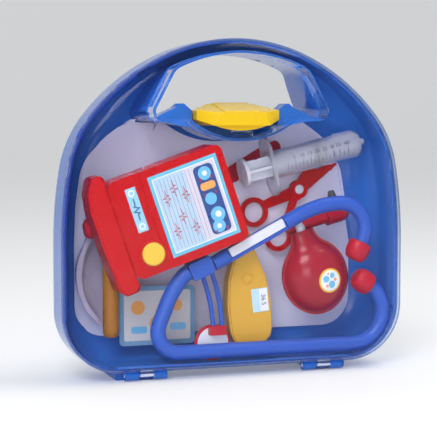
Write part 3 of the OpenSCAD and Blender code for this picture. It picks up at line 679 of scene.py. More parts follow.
INK_ORANGE = Finish("chart_label", (0.88, 0.4, 0.1), (0.8, 0.34, 0.1), name="ink_orange", rough=(0.26, 0.32))
INK_SKY = Finish("chart_label", (0.16, 0.5, 0.8), (0.18, 0.55, 0.84), name="ink_sky", rough=(0.26, 0.32))
STRIP_BLUE = Finish("strip_label", (0.3, 0.6, 0.76), (0.36, 0.66, 0.8), name="strip_blue", rough=(0.24, 0.3))
DIAL_YELLOW = Finish("dial_label", (0.86, 0.52, 0.06), (0.8, 0.46, 0.05), rough=(0.24, 0.3))
THERMO_LABEL = Finish("thermometer_label", (0.5, 0.72, 0.84), (0.6, 0.78, 0.88), rough=(0.24, 0.3))
CARD_BLUE = Finish("play_card", (0.14, 0.3, 0.5), (0.22, 0.4, 0.58), name="card_blue", rough=(0.3, 0.4))
CARD_PALE = Finish("play_card", (0.62, 0.6, 0.62), (0.7, 0.7, 0.7), name="card_pale", rough=(0.3, 0.4))


class Workshop:
    """Makes pieces of the scene from solids and keeps the shared effects."""

    def __init__(self) -> None:
        """Builds the shared effects."""
        self.groups = NodeGroups()
        self.made: dict[Finish, bpy.types.Material] = {}

    def material(self, finish: Finish) -> bpy.types.Material:
        """Gives the material of a finish, built when it is first asked for."""
        if finish not in self.made:
            self.made[finish] = finish.material(self.groups)
        return self.made[finish]

    def piece(self, name: str, solid: Solid, finish: Finish, body: Body, *nodes: str) -> bpy.types.Object:
        """Makes a piece of the scene.

        Args:
            name: Name of the piece.
            solid: Its shape in millimetres.
            finish: Its finish.
            body: The body that it moves with.
            *nodes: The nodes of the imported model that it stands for.

        Returns:
            The new object.
        """
        solid.mesh.transform(Matrix.Scale(MM, 4))
        solid.mesh.name = name
        solid.mesh.materials.clear()
        solid.mesh.materials.append(self.material(finish))
        made = bpy.data.objects.new(name, solid.mesh)
        bpy.context.scene.collection.objects.link(made)
        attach(made, body.value)
        if nodes:
            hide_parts(*nodes)
        LOG.info("%s: %d faces", name, len(solid.mesh.polygons))
        return made

    def softened(self, node: str, finish: Finish, body: Body, width: float = 0.4,
                 angle: float = 35.0) -> None:
        """Replaces a node by the same shape with rounded edges."""
        solid = Solid.of_node(node).softened(width, 2, angle).shaded()
        self.piece(node + "_soft", solid, finish, body, node)

    def dressed(self, node: str, finish: Finish) -> None:
        """Keeps a node as it is and gives it its finish."""
        kept = bpy.data.objects[node]
        kept.data.materials.clear()
        kept.data.materials.append(self.material(finish))
        LOG.info("%s: kept", node)


@dataclass(frozen=True)
class CaseForm:
    """The outline and the domes of the case, from its driving sizes in millimetres."""

    half_w: float = 147.5
    height: float = 280.0
    front_y: float = -39.0
    back_y: float = 39.0
    part_y: float = -19.0
    part_gap: float = 0.15
    wall: float = 2.4
    cover_wall: float = 2.0
    foot_h: float = 8.0
    crown_r: float = 145.0
    crown_end: float = 27.0
    upper_end: float = 51.7
    shoulder_r: float = 90.0
    shoulder_end: float = 80.5
    flank_r: float = 400.0
    corner_r: float = 48.0
    straight_y: float = 8.0
    back_inset: float = 26.0
    slope_start: float = 150.0
    back_slope: float = 0.24
    slope_blend: float = 4.0
    cover_straight: float = 5.0
    front_inset: float = 13.0
    window_top: float = 267.3
    window_crown_r: float = 125.0
    window_crown_end: float = 25.0
    window_shoulder_r: float = 14.0
    window_side_end: float = 62.0
    window_side: float = 30.0
    window_corner_r: float = 6.0
    scoop_r: float = 72.0
    scoop_z: float = 198.0
    fine: int = 5

    @property
    def upper_r(self) -> float:
        """Radius of the upper side, which the other radii leave."""
        sines = {a: math.sin(math.radians(a)) for a in (self.crown_end, self.upper_end, self.shoulder_end)}
        reach = self.half_w - self.crown_r * sines[self.crown_end]
        reach -= self.shoulder_r * (sines[self.shoulder_end] - sines[self.upper_end])
        reach -= self.flank_r * (1 - sines[self.shoulder_end])
        return reach / (sines[self.upper_end] - sines[self.crown_end])

    def right_side(self, inset: float) -> list[Flat]:
        """Samples the right half of the outline, from the crown to the foot, moved in by an inset."""
        crown = (0.0, self.height - self.crown_r)
        upper = shifted(crown, polar(self.crown_r - self.upper_r, self.crown_end))
        shoulder = shifted(upper, polar(self.upper_r - self.shoulder_r, self.upper_end))
        flank = shifted(shoulder, polar(self.shoulder_r - self.flank_r, self.shoulder_end))
        corner = (self.half_w - self.corner_r, self.foot_h + self.corner_r)
        n = self.fine
        return (
            arc(crown, self.crown_r - inset, 0, self.crown_end, 5 * n, 0)
            + arc(upper, self.upper_r - inset, self.crown_end, self.upper_end, 4 * n)
            + arc(shoulder, self.shoulder_r - inset, self.upper_end, self.shoulder_end, 4 * n)
            + arc(flank, self.flank_r - inset, self.shoulder_end, 90, 3 * n)
            + arc(corner, self.corner_r - inset, 90, 180, 5 * n, 0)
        )

    def outline(self, inset: float) -> list[Flat]:
        """Samples the whole outline."""
        right = self.right_side(inset)
        return right + mirrored(right)

    def sloped(self, point: Flat, slope: float) -> Flat:
        """Lowers the upper part of a section towards the back, with a soft start."""
        rise = max(point[1] - self.slope_start, 0.0)
        return (point[0], point[1] - slope * rise * rise / (rise + self.slope_blend))

    def ring(self, y: float, inset: float, slope: float) -> list[Spot]:
        """Samples one section of the case."""
        return [(x, y, z) for x, z in (self.sloped(p, slope) for p in self.outline(inset))]

    def back_dome(self, wall: float, start: float, steps: int = 14) -> Solid:
        """Skins the outside of the back shell, or its inside a wall further in.

        Args:
            wall: How far inside the outer surface.
            start: Depth at which it opens to the front.
            steps: Number of sections round the back edge.

        Returns:
            The closed dome.
        """
        rings = [self.ring(start, wall, 0.0), self.ring(self.straight_y, wall, 0.0)]
        for i in range(1, steps + 1):
            angle = math.radians(90 * i / steps)
            depth, inset = math.sin(angle), 1 - math.cos(angle)
            y = self.straight_y + (self.back_y - wall - self.straight_y) * depth
            rings.append(self.ring(y, wall + self.back_inset * inset, self.back_slope * depth))
        return Solid.loft(rings)

    def cover_dome(self, wall: float, end: float, steps: int = 12) -> Solid:
        """Skins the outside of the front cover, or its inside a wall further in."""
        round_y = self.part_y - self.cover_straight
        rings = []
        for i in range(steps, 0, -1):
            angle = math.radians(90 * i / steps)
            y = round_y + (self.front_y + wall - round_y) * math.sin(angle)
            rings.append(self.ring(y, wall + self.front_inset * (1 - math.cos(angle)), 0.0))
        rings += [self.ring(round_y, wall, 0.0), self.ring(end, wall, 0.0)]
        return Solid.loft(rings)

    @property
    def window_corner(self) -> Flat:
        """Centre of the lower corner of the hand window."""
        crown = (0.0, self.window_top - self.window_crown_r)
        shoulder = shifted(crown, polar(self.window_crown_r - self.window_shoulder_r, self.window_crown_end))
        side = math.radians(self.window_side_end)
        end = shifted(shoulder, polar(self.window_shoulder_r - self.window_corner_r, self.window_side_end))
        return shifted(end, (self.window_side * math.cos(side), -self.window_side * math.sin(side)))

    def window(self, grow: float, scooped: bool) -> list[Flat]:
        """Outlines the hand window.

        Args:
            grow: How far outside the opening.
            scooped: Whether the scoop below the latch is part of it.

        Returns:
            The closed outline.
        """
        crown = (0.0, self.window_top - self.window_crown_r)
        shoulder = shifted(crown, polar(self.window_crown_r - self.window_shoulder_r, self.window_crown_end))
        half = arc(crown, self.window_crown_r + grow, 0, self.window_crown_end, 20, 0)
        half += arc(shoulder, self.window_shoulder_r + grow, self.window_crown_end, self.window_side_end, 8)
        half += arc(self.window_corner, self.window_corner_r + grow, self.window_side_end, 180, 14, 0)
        if scooped:
            half += self.scoop(grow)
        else:
            half.append((0.0, half[-1][1]))
        return half + mirrored(half)

    def scoop(self, grow: float) -> list[Flat]:
        """Samples the right half of the scoop, from the window's base to its lowest point."""
        centre_z = self.scoop_z + self.scoop_r
        base = self.window_corner[1] - self.window_corner_r - grow
        radius = self.scoop_r + grow
        reach = math.degrees(math.acos((centre_z - base) / radius))
        return arc((0.0, centre_z), radius, 180 - reach, 180, 14, 0)


@dataclass
class CaseShells:
    """The back shell, the clear cover, their hinge and the liner."""

    shop: Workshop
    form: CaseForm = field(default_factory=CaseForm)
    hinge_z: float = 4.5
    hinge_x: float = 78.0
    knuckle_r: float = 4.0
    knuckle_w: float = 11.6
    knuckle_pitch: float = 12.0
    pin_r: float = 1.5
    knuckle_clear: float = 0.4
    pin_clear: float = 0.08
    foot: Flat = (85.0, 17.0)
    foot_top: float = 30.0
    foot_y: tuple[float, float] = (-12.0, 30.0)
    seat_back: float = 6.0
    pivot: Flat = (-10.0, 216.0)
    trunnion_r: float = 2.5
    tongue: tuple[float, float] = (2.4, 1.3)
    tongue_window: tuple[float, float, float] = (85.0, 196.0, 256.0)
    tongue_corner: tuple[float, float, float] = (45.0, -37.0, 53.0)
    catch: Flat = (-34.2, 204.25)
    catch_r: float = 3.0
    catch_half_w: float = 9.0
    ear: tuple[Flat, ...] = ((37.6, 207), (37.6, 220.8), (44.5, 226.6), (47.5, 226.6), (52, 223), (69, 215.5),
                             (71, 212.5), (60, 211), (46, 208))

    def rod(self, x0: float, x1: float, y: float, z: float, radius: float) -> Solid:
        """Makes a rod along X at a depth and a height."""
        return Solid.rod_x(x0, x1, radius).moved(Matrix.Translation((0, y, z)))

    def knuckle(self, x: float, y0: float, y1: float) -> Solid:
        """Makes one knuckle of the hinge with the web that carries it."""
        half = self.knuckle_w / 2
        barrel = self.rod(x - half, x + half, self.form.part_y, self.hinge_z, self.knuckle_r)
        return barrel.join(Solid.block((x - half, y0, self.hinge_z), (x + half, y1, self.form.foot_h + 1)))

    def window_cut(self, grow: float, y0: float, y1: float, seat: float) -> list[Solid]:
        """Gives the solids of the hand window and of the scoop, grown by a margin."""
        form = self.form
        return [
            Solid.prism(form.window(grow, False), y0, y1),
            Solid.prism(form.window(grow, True), y0, seat),
        ]

    def build_back(self) -> None:
        """Builds the blue back shell with its feet, ears, tongue and hinge knuckles."""
        form = self.form
        start = form.part_y + form.part_gap
        middle, half = self.foot
        feet = []
        for side in (-1, 1):
            loop = rounded_box((side * middle - half, 0), (side * middle + half, self.foot_top), 1.2, 3)
            feet.append(Solid.prism(loop, *self.foot_y))
        outer = form.back_dome(0, start).join(*feet)
        wall = form.wall
        tunnel = self.window_cut(wall, form.part_y - 5, form.back_y + 5, self.seat_back + wall)
        cavity = form.back_dome(wall, start - 1).cut(*tunnel)
        shell = outer.cut(cavity, *self.window_cut(0, form.part_y - 6, form.back_y + 6, self.seat_back))
        inset, thick = self.tongue
        front, back = form.part_y - 5, form.part_y + 5
        reach, low, high = self.tongue_window
        gaps = [Solid.block((-reach, front, low), (reach, back, high))]
        reach, low, high = self.tongue_corner
        for side in (-1, 1):
            x = side * form.half_w
            gaps.append(Solid.block((x - reach, front, low), (x + reach, back, high)))
        ring = Solid.prism(form.outline(inset), form.part_y - 3, form.part_y + 3).cut(
            Solid.prism(form.outline(inset + thick), form.part_y - 4, form.part_y + 4), *gaps)
        added = [ring]
        for side in (-1, 1):
            loop = [(side * x, z) for x, z in self.ear]
            added.append(Solid.prism(loop, start, self.pivot[0] + 7))
            for step in (-1, 1):
                x = side * self.hinge_x + step * self.knuckle_pitch
                added.append(self.knuckle(x, form.part_y, form.part_y + 6))
        shell = shell.join(*added)
        drilled = [self.rod(-44, 44, *self.pivot, self.trunnion_r + self.pin_clear)]
        room = self.knuckle_r + self.knuckle_clear
        for side in (-1, 1):
            x = side * self.hinge_x
            drilled.append(self.rod(x - 19, x + 19, form.part_y, self.hinge_z, self.pin_r))
            drilled.append(self.rod(x - 6.15, x + 6.15, form.part_y, self.hinge_z, room))
        shell = shell.cut(*drilled).softened(0.45, 2, 38).shaded(30)
        self.shop.piece("back_shell_moulding", shell, CASE_BLUE, Body.CASE, "rear_shell")

    def build_cover(self) -> None:
        """Builds the clear front cover with its hand window, catch bead and hinge knuckles."""
        form = self.form
        wall = form.cover_wall
        end = form.part_y - form.part_gap
        around = Solid.prism(form.window(wall, True), form.front_y - 5, form.part_y + 5)
        hole = Solid.prism(form.window(0, True), form.front_y - 6, form.part_y + 6)
        cavity = form.cover_dome(wall, form.part_y + 1).cut(around)
        half, depth, level = self.catch_half_w, self.catch[0], self.catch[1] - self.catch_r
        added = [
            self.rod(-half, half, depth, level, self.catch_r),
            Solid.block((-half, depth - 2, form.scoop_z - 1.5), (half, depth + 2, level)),
        ]
        added += [self.knuckle(side * self.hinge_x, form.part_y - 6, form.part_y) for side in (-1, 1)]
        cover = form.cover_dome(0, end).cut(cavity, hole).join(*added)
        drilled = []
        room = self.knuckle_r + self.knuckle_clear
        for side in (-1, 1):
            x = side * self.hinge_x
            drilled.append(self.rod(x - 8, x + 8, form.part_y, self.hinge_z, self.pin_r + self.pin_clear))
            for step in (-1, 1):
                middle = x + step * self.knuckle_pitch
                drilled.append(self.rod(middle - 6.1, middle + 6.1, form.part_y, self.hinge_z, room))
        cover = cover.cut(*drilled).softened(0.5, 3, 38).shaded(30)
        # Marks where the painted rim reflection goes, leaving out the walls of the hand window.
        cover.marked(PAINTED_REFLECTION_MASK, form.window(wall + 1, True))
        self.shop.piece("clear_cover_moulding", cover, CASE_CLEAR, Body.COVER, "front_cover")

    def build(self) -> None:
        """Builds and dresses the whole case."""
        self.build_back()
        self.build_cover()
        self.shop.dressed("hinge_pins", WHITE)
        self.shop.softened("back_liner", LINER, Body.CASE, 0.3)
        self.shop.softened("latch", LATCH_YELLOW, Body.LATCH, 0.9, 20)


@dataclass
class Monitor:
    """The toy heart monitor, drawn in its face frame with the middle of the chart at the origin."""

    shop: Workshop
    at: tuple[float, float, float, float] = (-40.0, 144.0, 19.0, -7.0)
    front: float = 24.0
    chart: Flat = (30.5, 34.5)
    strip: tuple[float, float, float, float] = (-51.0, -5.5, 9.0, 37.0)
    print_t: float = 0.12
    label_t: float = 0.4
    panel_rise: float = 1.0
    beat: tuple[Flat, ...] = ((0, 0), (3.6, 0), (4.6, 2.2), (6, -3), (7.6, 3.2), (9, -1.8), (10, 0), (14, 0))

    def printed(self, name: str, loops: Sequence[Sequence[Flat]], finish: Finish, base: float) -> None:
        """Lays flat prints on the monitor's labels.

        Args:
            name: Name of the piece.
            loops: Closed outlines in the face frame.
            finish: The ink.
            base: Height of the surface that they lie on.
        """
        shapes = [Solid.slab(loop, base, base + self.print_t) for loop in loops]
        self.shop.piece(name, merged(shapes).moved(face(*self.at)), finish, Body.CASE)

    def drawn(self, name: str, lines: Sequence[Sequence[Flat]], width: float, finish: Finish,
              base: float) -> None:
        """Draws lines of one width on the monitor's labels, as printed() lays outlines."""
        shapes = [stroke(line, width, base, base + self.print_t) for line in lines]
        self.shop.piece(name, merged(shapes).moved(face(*self.at)), finish, Body.CASE)

    def build_chart(self) -> None:
        """Prints the chart with ruled lines, plain pulse traces and a band of plain round shapes."""
        wide, tall = self.chart
        top = self.front + self.panel_rise + self.label_t
        pale, white = (-wide + 3.2, wide - 3.2), (-tall + 3.2, tall - 3.2)
        cool, warm, corners = ([(left, white[0]), (right, white[0]), (right, white[1]), (left, white[1])]
                               for left, right in ((pale[0], 0), (0, pale[1]), pale))
        self.printed("chart_field_cool", [cool], PAPER_COOL, top)
        self.printed("chart_field_warm", [warm], PAPER_PALE, top)
        level = top + self.print_t
        rim = [[corners[i], corners[(i + 1) % 4]] for i in range(4)]
        self.drawn("chart_rim", rim, 0.8, PAPER_WHITE, level)
        across = [round(-24.6 + 3.2 * k, 1) for k in range(10)]
        rules = [[(x, white[0] + 2), (x, white[1] - 2)] for x in across]
        self.drawn("chart_rules", rules, 0.3, INK_GREY, level)
        above = level + self.print_t
        traces = []
        for x, y in ((-20, 6), (-20, -22), (-12, 12), (-12, -12), (-4, 4), (-4, -24)):
            traces.append([(x - b, y + a) for a, b in self.beat])
        self.drawn("chart_traces", traces, 0.55, INK_RED, above)
        band = rounded_box((7.4, white[0] + 2.2), (24.6, white[1] - 2.2), 4)
        self.printed("chart_band", [band], INK_NAVY, above)
        above += self.print_t
        spots = ((14.6, -23, 5.4), (16.6, -13.4, 6.2), (15, 0.5, 5), (16.4, 22, 5.6))
        rounds = [round_loop((x, y), r) for x, y, r in spots]
        self.printed("chart_band_rounds", rounds, INK_SKY, above)
        bars = [rounded_box((9.4, 8.2), (22.6, 14.6), 2.6)]
        self.printed("chart_band_pill", bars, INK_ORANGE, above)
        above += self.print_t
        dots = [round_loop((x, y), r, 20) for x, y, r in ((14.6, -23, 2), (17, -13.4, 2.6), (16.4, 22, 2.1))]
        self.printed("chart_band_dots", dots, PAPER_WHITE, above)
        dashes = [[(x, y), (x, y + 2.6)] for x in (11.4, 20.8) for y in (-28, 3.4, 16.6)]
        self.drawn("chart_band_dashes", dashes, 1.0, INK_RED, above)

    def build_strip(self) -> None:
        """Prints the strip with two plain rings and a pulse."""
        left, low, wide, tall = self.strip
        base = self.front + self.label_t
        middle = left + wide / 2
        ends = [(middle, low + 4.4), (middle, low + tall - 4.4)]
        self.printed("strip_rings", [round_loop(end, 2.9) for end in ends], PAPER_WHITE, base)
        self.printed("strip_dots", [round_loop(end, 1.7) for end in ends], STRIP_BLUE, base + self.print_t)
        pulse = [(middle + b * 0.8, low + 9.5 + a * 1.32) for a, b in self.beat]
        self.drawn("strip_pulse", [pulse], 0.9, INK_NAVY, base)

    def build(self) -> None:
        """Builds and dresses the monitor."""
        self.shop.softened("monitor_front_shell", TOY_RED, Body.CASE, 0.9)
        self.shop.softened("monitor_back_shell", TOY_RED, Body.CASE, 0.5)
        self.shop.softened("monitor_grip", TOY_RED, Body.CASE, 0.9)
        self.shop.softened("monitor_button", BUTTON_YELLOW, Body.BUTTON, 0.5)
        self.shop.dressed("monitor_leaf_spring", STEEL)
        self.shop.dressed("monitor_screws", STEEL)
        self.shop.dressed("monitor_chart_label", PAPER_BLUE)
        self.shop.dressed("monitor_strip_label", STRIP_BLUE)
        self.build_chart()
        self.build_strip()


@dataclass
class Syringe:
    """The toy syringe, drawn along the X axis of its face frame with the finger flange at the origin."""

    shop: Workshop
    at: tuple[float, float, float, float] = (39.7, 173.0, 13.5, 10.5)
    radius: float = 12.0
    scale_start: float = 14.0
    scale_step: float = 3.6
    scale_marks: int = 16

    def wrapped(self, solid: Solid) -> Solid:
        """Bends a flat print round the front of the barrel."""
        for vertex in solid.mesh.vertices:
            turn = vertex.co.y / self.radius
            reach = self.radius + vertex.co.z
            vertex.co.y = reach * math.sin(turn)
            vertex.co.z = reach * math.cos(turn)
        return solid

    def build_scale(self) -> None:
        """Prints the ticks and plain numbers of the scale round the barrel."""
        marks = []
        for i in range(self.scale_marks + 1):
            x = self.scale_start + self.scale_step * i
            length = 6.5 if i % 2 == 0 else 4.0
            rows = 6
            for k in range(rows):
                low, high = -6.5 + length * k / rows, -6.5 + length * (k + 1) / rows
                marks.append(self.wrapped(Solid.block((x - 0.22, low, 0.02), (x + 0.22, high, 0.14))))
        for i in range(1, self.scale_marks // 2 + 1):
            x = self.scale_start + 2 * self.scale_step * i
            marks.append(self.wrapped(words(str(5 * i), 4.6, 0.12, (x, 3.4))))
        print_out = merged(marks).moved(face(*self.at))
        self.shop.piece("syringe_scale", print_out, INK_NAVY_ON_BARREL, Body.CASE)

    def build(self) -> None:
        """Builds and dresses the syringe."""
        self.shop.softened("syringe_barrel", BARREL, Body.CASE, 0.5)
        self.shop.softened("syringe_plunger", WHITE, Body.PLUNGER, 0.4)
        self.shop.softened("syringe_seal", SEAL, Body.PLUNGER, 0.3)
        self.build_scale()


INK_NAVY_ON_BARREL = Finish("syringe_barrel", (0.03, 0.03, 0.09), (0.05, 0.05, 0.12), name="ink_on_barrel",
                            rough=(0.3, 0.4))

Station = tuple[Flat, float]


@dataclass
class Route:
    """A route in the face plane, laid as straights and bends. A heading of 0 is right and 90 is up."""

    at: Flat
    heading: float
    stations: list[Station] = field(default_factory=list)

    def __post_init__(self) -> None:
        """Starts the route with its first station."""
        self.stations.append((self.at, self.heading))

    def straight(self, length: float, steps: int = 1) -> "Route":
        """Goes straight on."""
        turn = math.radians(self.heading)
        for _ in range(steps):
            self.at = shifted(self.at, (length / steps * math.cos(turn), length / steps * math.sin(turn)))
            self.stations.append((self.at, self.heading))
        return self

    def bend(self, radius: float, angle: float, steps: int) -> "Route":
        """Turns to the left, or to the right for a negative angle."""
        side = 1 if angle > 0 else -1
        start = math.radians(self.heading)
        centre = shifted(self.at, (-side * radius * math.sin(start), side * radius * math.cos(start)))
        for i in range(1, steps + 1):
            turn = math.radians(self.heading + angle * i / steps)
            self.at = shifted(centre, (side * radius * math.sin(turn), -side * radius * math.cos(turn)))
            self.stations.append((self.at, math.degrees(turn)))
        self.heading += angle
        return self

    def tube(self, radius: float, sides: int = 28) -> Solid:
        """Sweeps a round tube along the route."""
        rings = []
        for (x, y), heading in self.stations:
            turn = math.radians(heading)
            around = [2 * math.pi * k / sides for k in range(sides)]
            rings.append([
                (x - radius * math.cos(a) * math.sin(turn), y + radius * math.cos(a) * math.cos(turn),
                 radius * math.sin(a))
                for a in around
            ])
        return Solid.loft(rings)


@dataclass
class Stethoscope:
    """The toy stethoscope: a yoke with two ear tubes, and two thin tubes to the chest piece."""

    shop: Workshop
    depth: float = -20.0
    tube_r: float = 6.4
    arm_at: Flat = (-19.9, 94.1)
    arm_turn: float = 27.0
    arm_l: float = 86.0
    arm_w: float = 11.6
    arm_t: float = 6.0
    inlay: Flat = (16.0, 54.0)
    crest_r: float = 84.0
    hook: Flat = (22.0, 100.0)
    tail: Flat = (30.0, 17.0)
    elbow_at: Flat = (-41.6, 87.9)
    elbow: tuple[float, float, float] = (205.0, 14.0, 23.0)
    bow: Flat = (75.0, 20.0)
    fall_l: float = 17.0
    sweep_r: float = 18.5
    rise_x: float = 107.0
    rise: Flat = (27.0, 147.0)
    tip_gap: float = 0.05
    twin_y: float = -12.6
    twin_at: Flat = (-26.3, 82.6)
    twin_step: Flat = (7.6, 3.2)
    twin: tuple[float, float, float, float] = (-70.0, 150.0, 16.0, 1.22)
    tip: tuple[Flat, ...] = ((0, 0), (8.9, 0), (9.4, 0.4), (9.8, 2.0), (10.1, 4.0), (10.2, 6.0),
                             (10.2, 7.6), (10.0, 9.6), (9.5, 11.6), (8.7, 13.4), (7.6, 14.9),
                             (6.3, 15.8), (4.6, 16.2), (0, 16.2))

    def build_arm(self) -> None:
        """Builds the upper arm with its bar, crest and hook."""
        start, length = self.inlay
        half = self.arm_w / 2
        bar = Solid.block((0, -half, -self.arm_t / 2), (start + length + 4, half, self.arm_t / 2))
        top = self.arm_t / 2
        bed = Solid.block((start, -half + 3.4, top - 1.5), (start + length, half + 4, top + 4))
        root = Solid.rod_x(0, start - 1.5, self.tube_r)
        frame = Matrix.Translation((*self.arm_at, 0)) @ Matrix.Rotation(math.radians(self.arm_turn), 4, "Z")
        flat = bar.cut(bed).softened(0.8).join(root.softened(0.8)).moved(frame)
        route = Route(self.arm_at, self.arm_turn)
        route.straight(start + length + 1)
        route.stations.clear()
        route.stations.append((route.at, route.heading))
        route.straight(self.arm_l - start - length - 1, 3).bend(self.crest_r, -self.arm_turn, 16)
        for (radius, angle), steps in ((self.hook, 26), (self.tail, 5)):
            route.bend(radius, -angle, steps)
        tube = route.tube(self.tube_r).softened(0.8)
        self.shop.piece("upper_arm_moulding", flat.join(tube).moved(face(0, 0, 0, self.depth)).shaded(),
                        TUBE_BLUE, Body.CASE, "stethoscope_upper_arm")
        self.build_tip("ear_tip_upper", route)

    def build_lower(self) -> None:
        """Builds the long lower tube, from the yoke round the floor and up to its tip."""
        heading, elbow_r, elbow_turn = self.elbow
        route = Route(self.elbow_at, heading).bend(elbow_r, elbow_turn, 8).bend(*self.bow, 10)
        route.straight(self.fall_l, 4).bend(self.sweep_r, 360 - route.heading, 26)
        route.heading = 0
        route.straight(self.rise_x - route.at[0], 12).bend(*self.rise, 34)
        tube = route.tube(self.tube_r).softened(0.6).moved(face(0, 0, 0, self.depth)).shaded()
        self.shop.piece("lower_tube_moulding", tube, TUBE_BLUE, Body.CASE, "stethoscope_lower_tube")
        self.build_tip("ear_tip_lower", route)

    def build_tip(self, node: str, route: Route) -> None:
        """Puts a soft ear tip on the end of a tube."""
        place = face(0, 0, 0, self.depth) @ Matrix.Translation((*route.at, 0))
        place = place @ Matrix.Rotation(math.radians(route.heading), 4, "Z")
        place = place @ Matrix.Rotation(math.radians(90), 4, "Y")
        tip = Solid.turned([(r, h + self.tip_gap) for r, h in self.tip], 56).moved(place).shaded(50)
        self.shop.piece(node + "_soft", tip, TIP_RED, Body.CASE, node)

    def build_twin(self) -> None:
        """Builds the two thin tubes between the yoke and the chest piece."""
        heading, radius, turn, extra = self.twin
        tubes = []
        for k in (0, 1):
            start = shifted(self.twin_at, (self.twin_step[0] * k, self.twin_step[1] * k))
            tubes.append(Route(start, heading).bend(radius, -(turn + extra * k), 20).tube(2.0, 20))
        twin = merged(tubes).moved(face(0, 0, 0, self.twin_y)).shaded()
        self.shop.piece("twin_tube_moulding", twin, TUBE_BLUE, Body.CASE, "stethoscope_twin_tube")

    def build(self) -> None:
        """Builds and dresses the stethoscope."""
        self.build_arm()
        self.build_lower()
        self.build_twin()
        self.shop.softened("stethoscope_yoke", TUBE_BLUE, Body.CASE, 1.4)
        self.shop.softened("stethoscope_arm_inlay", WHITE, Body.CASE, 0.4)
        self.shop.softened("chest_bell", TIP_RED, Body.CASE, 0.6)
        self.shop.softened("chest_diaphragm", WHITE, Body.CASE, 0.4)


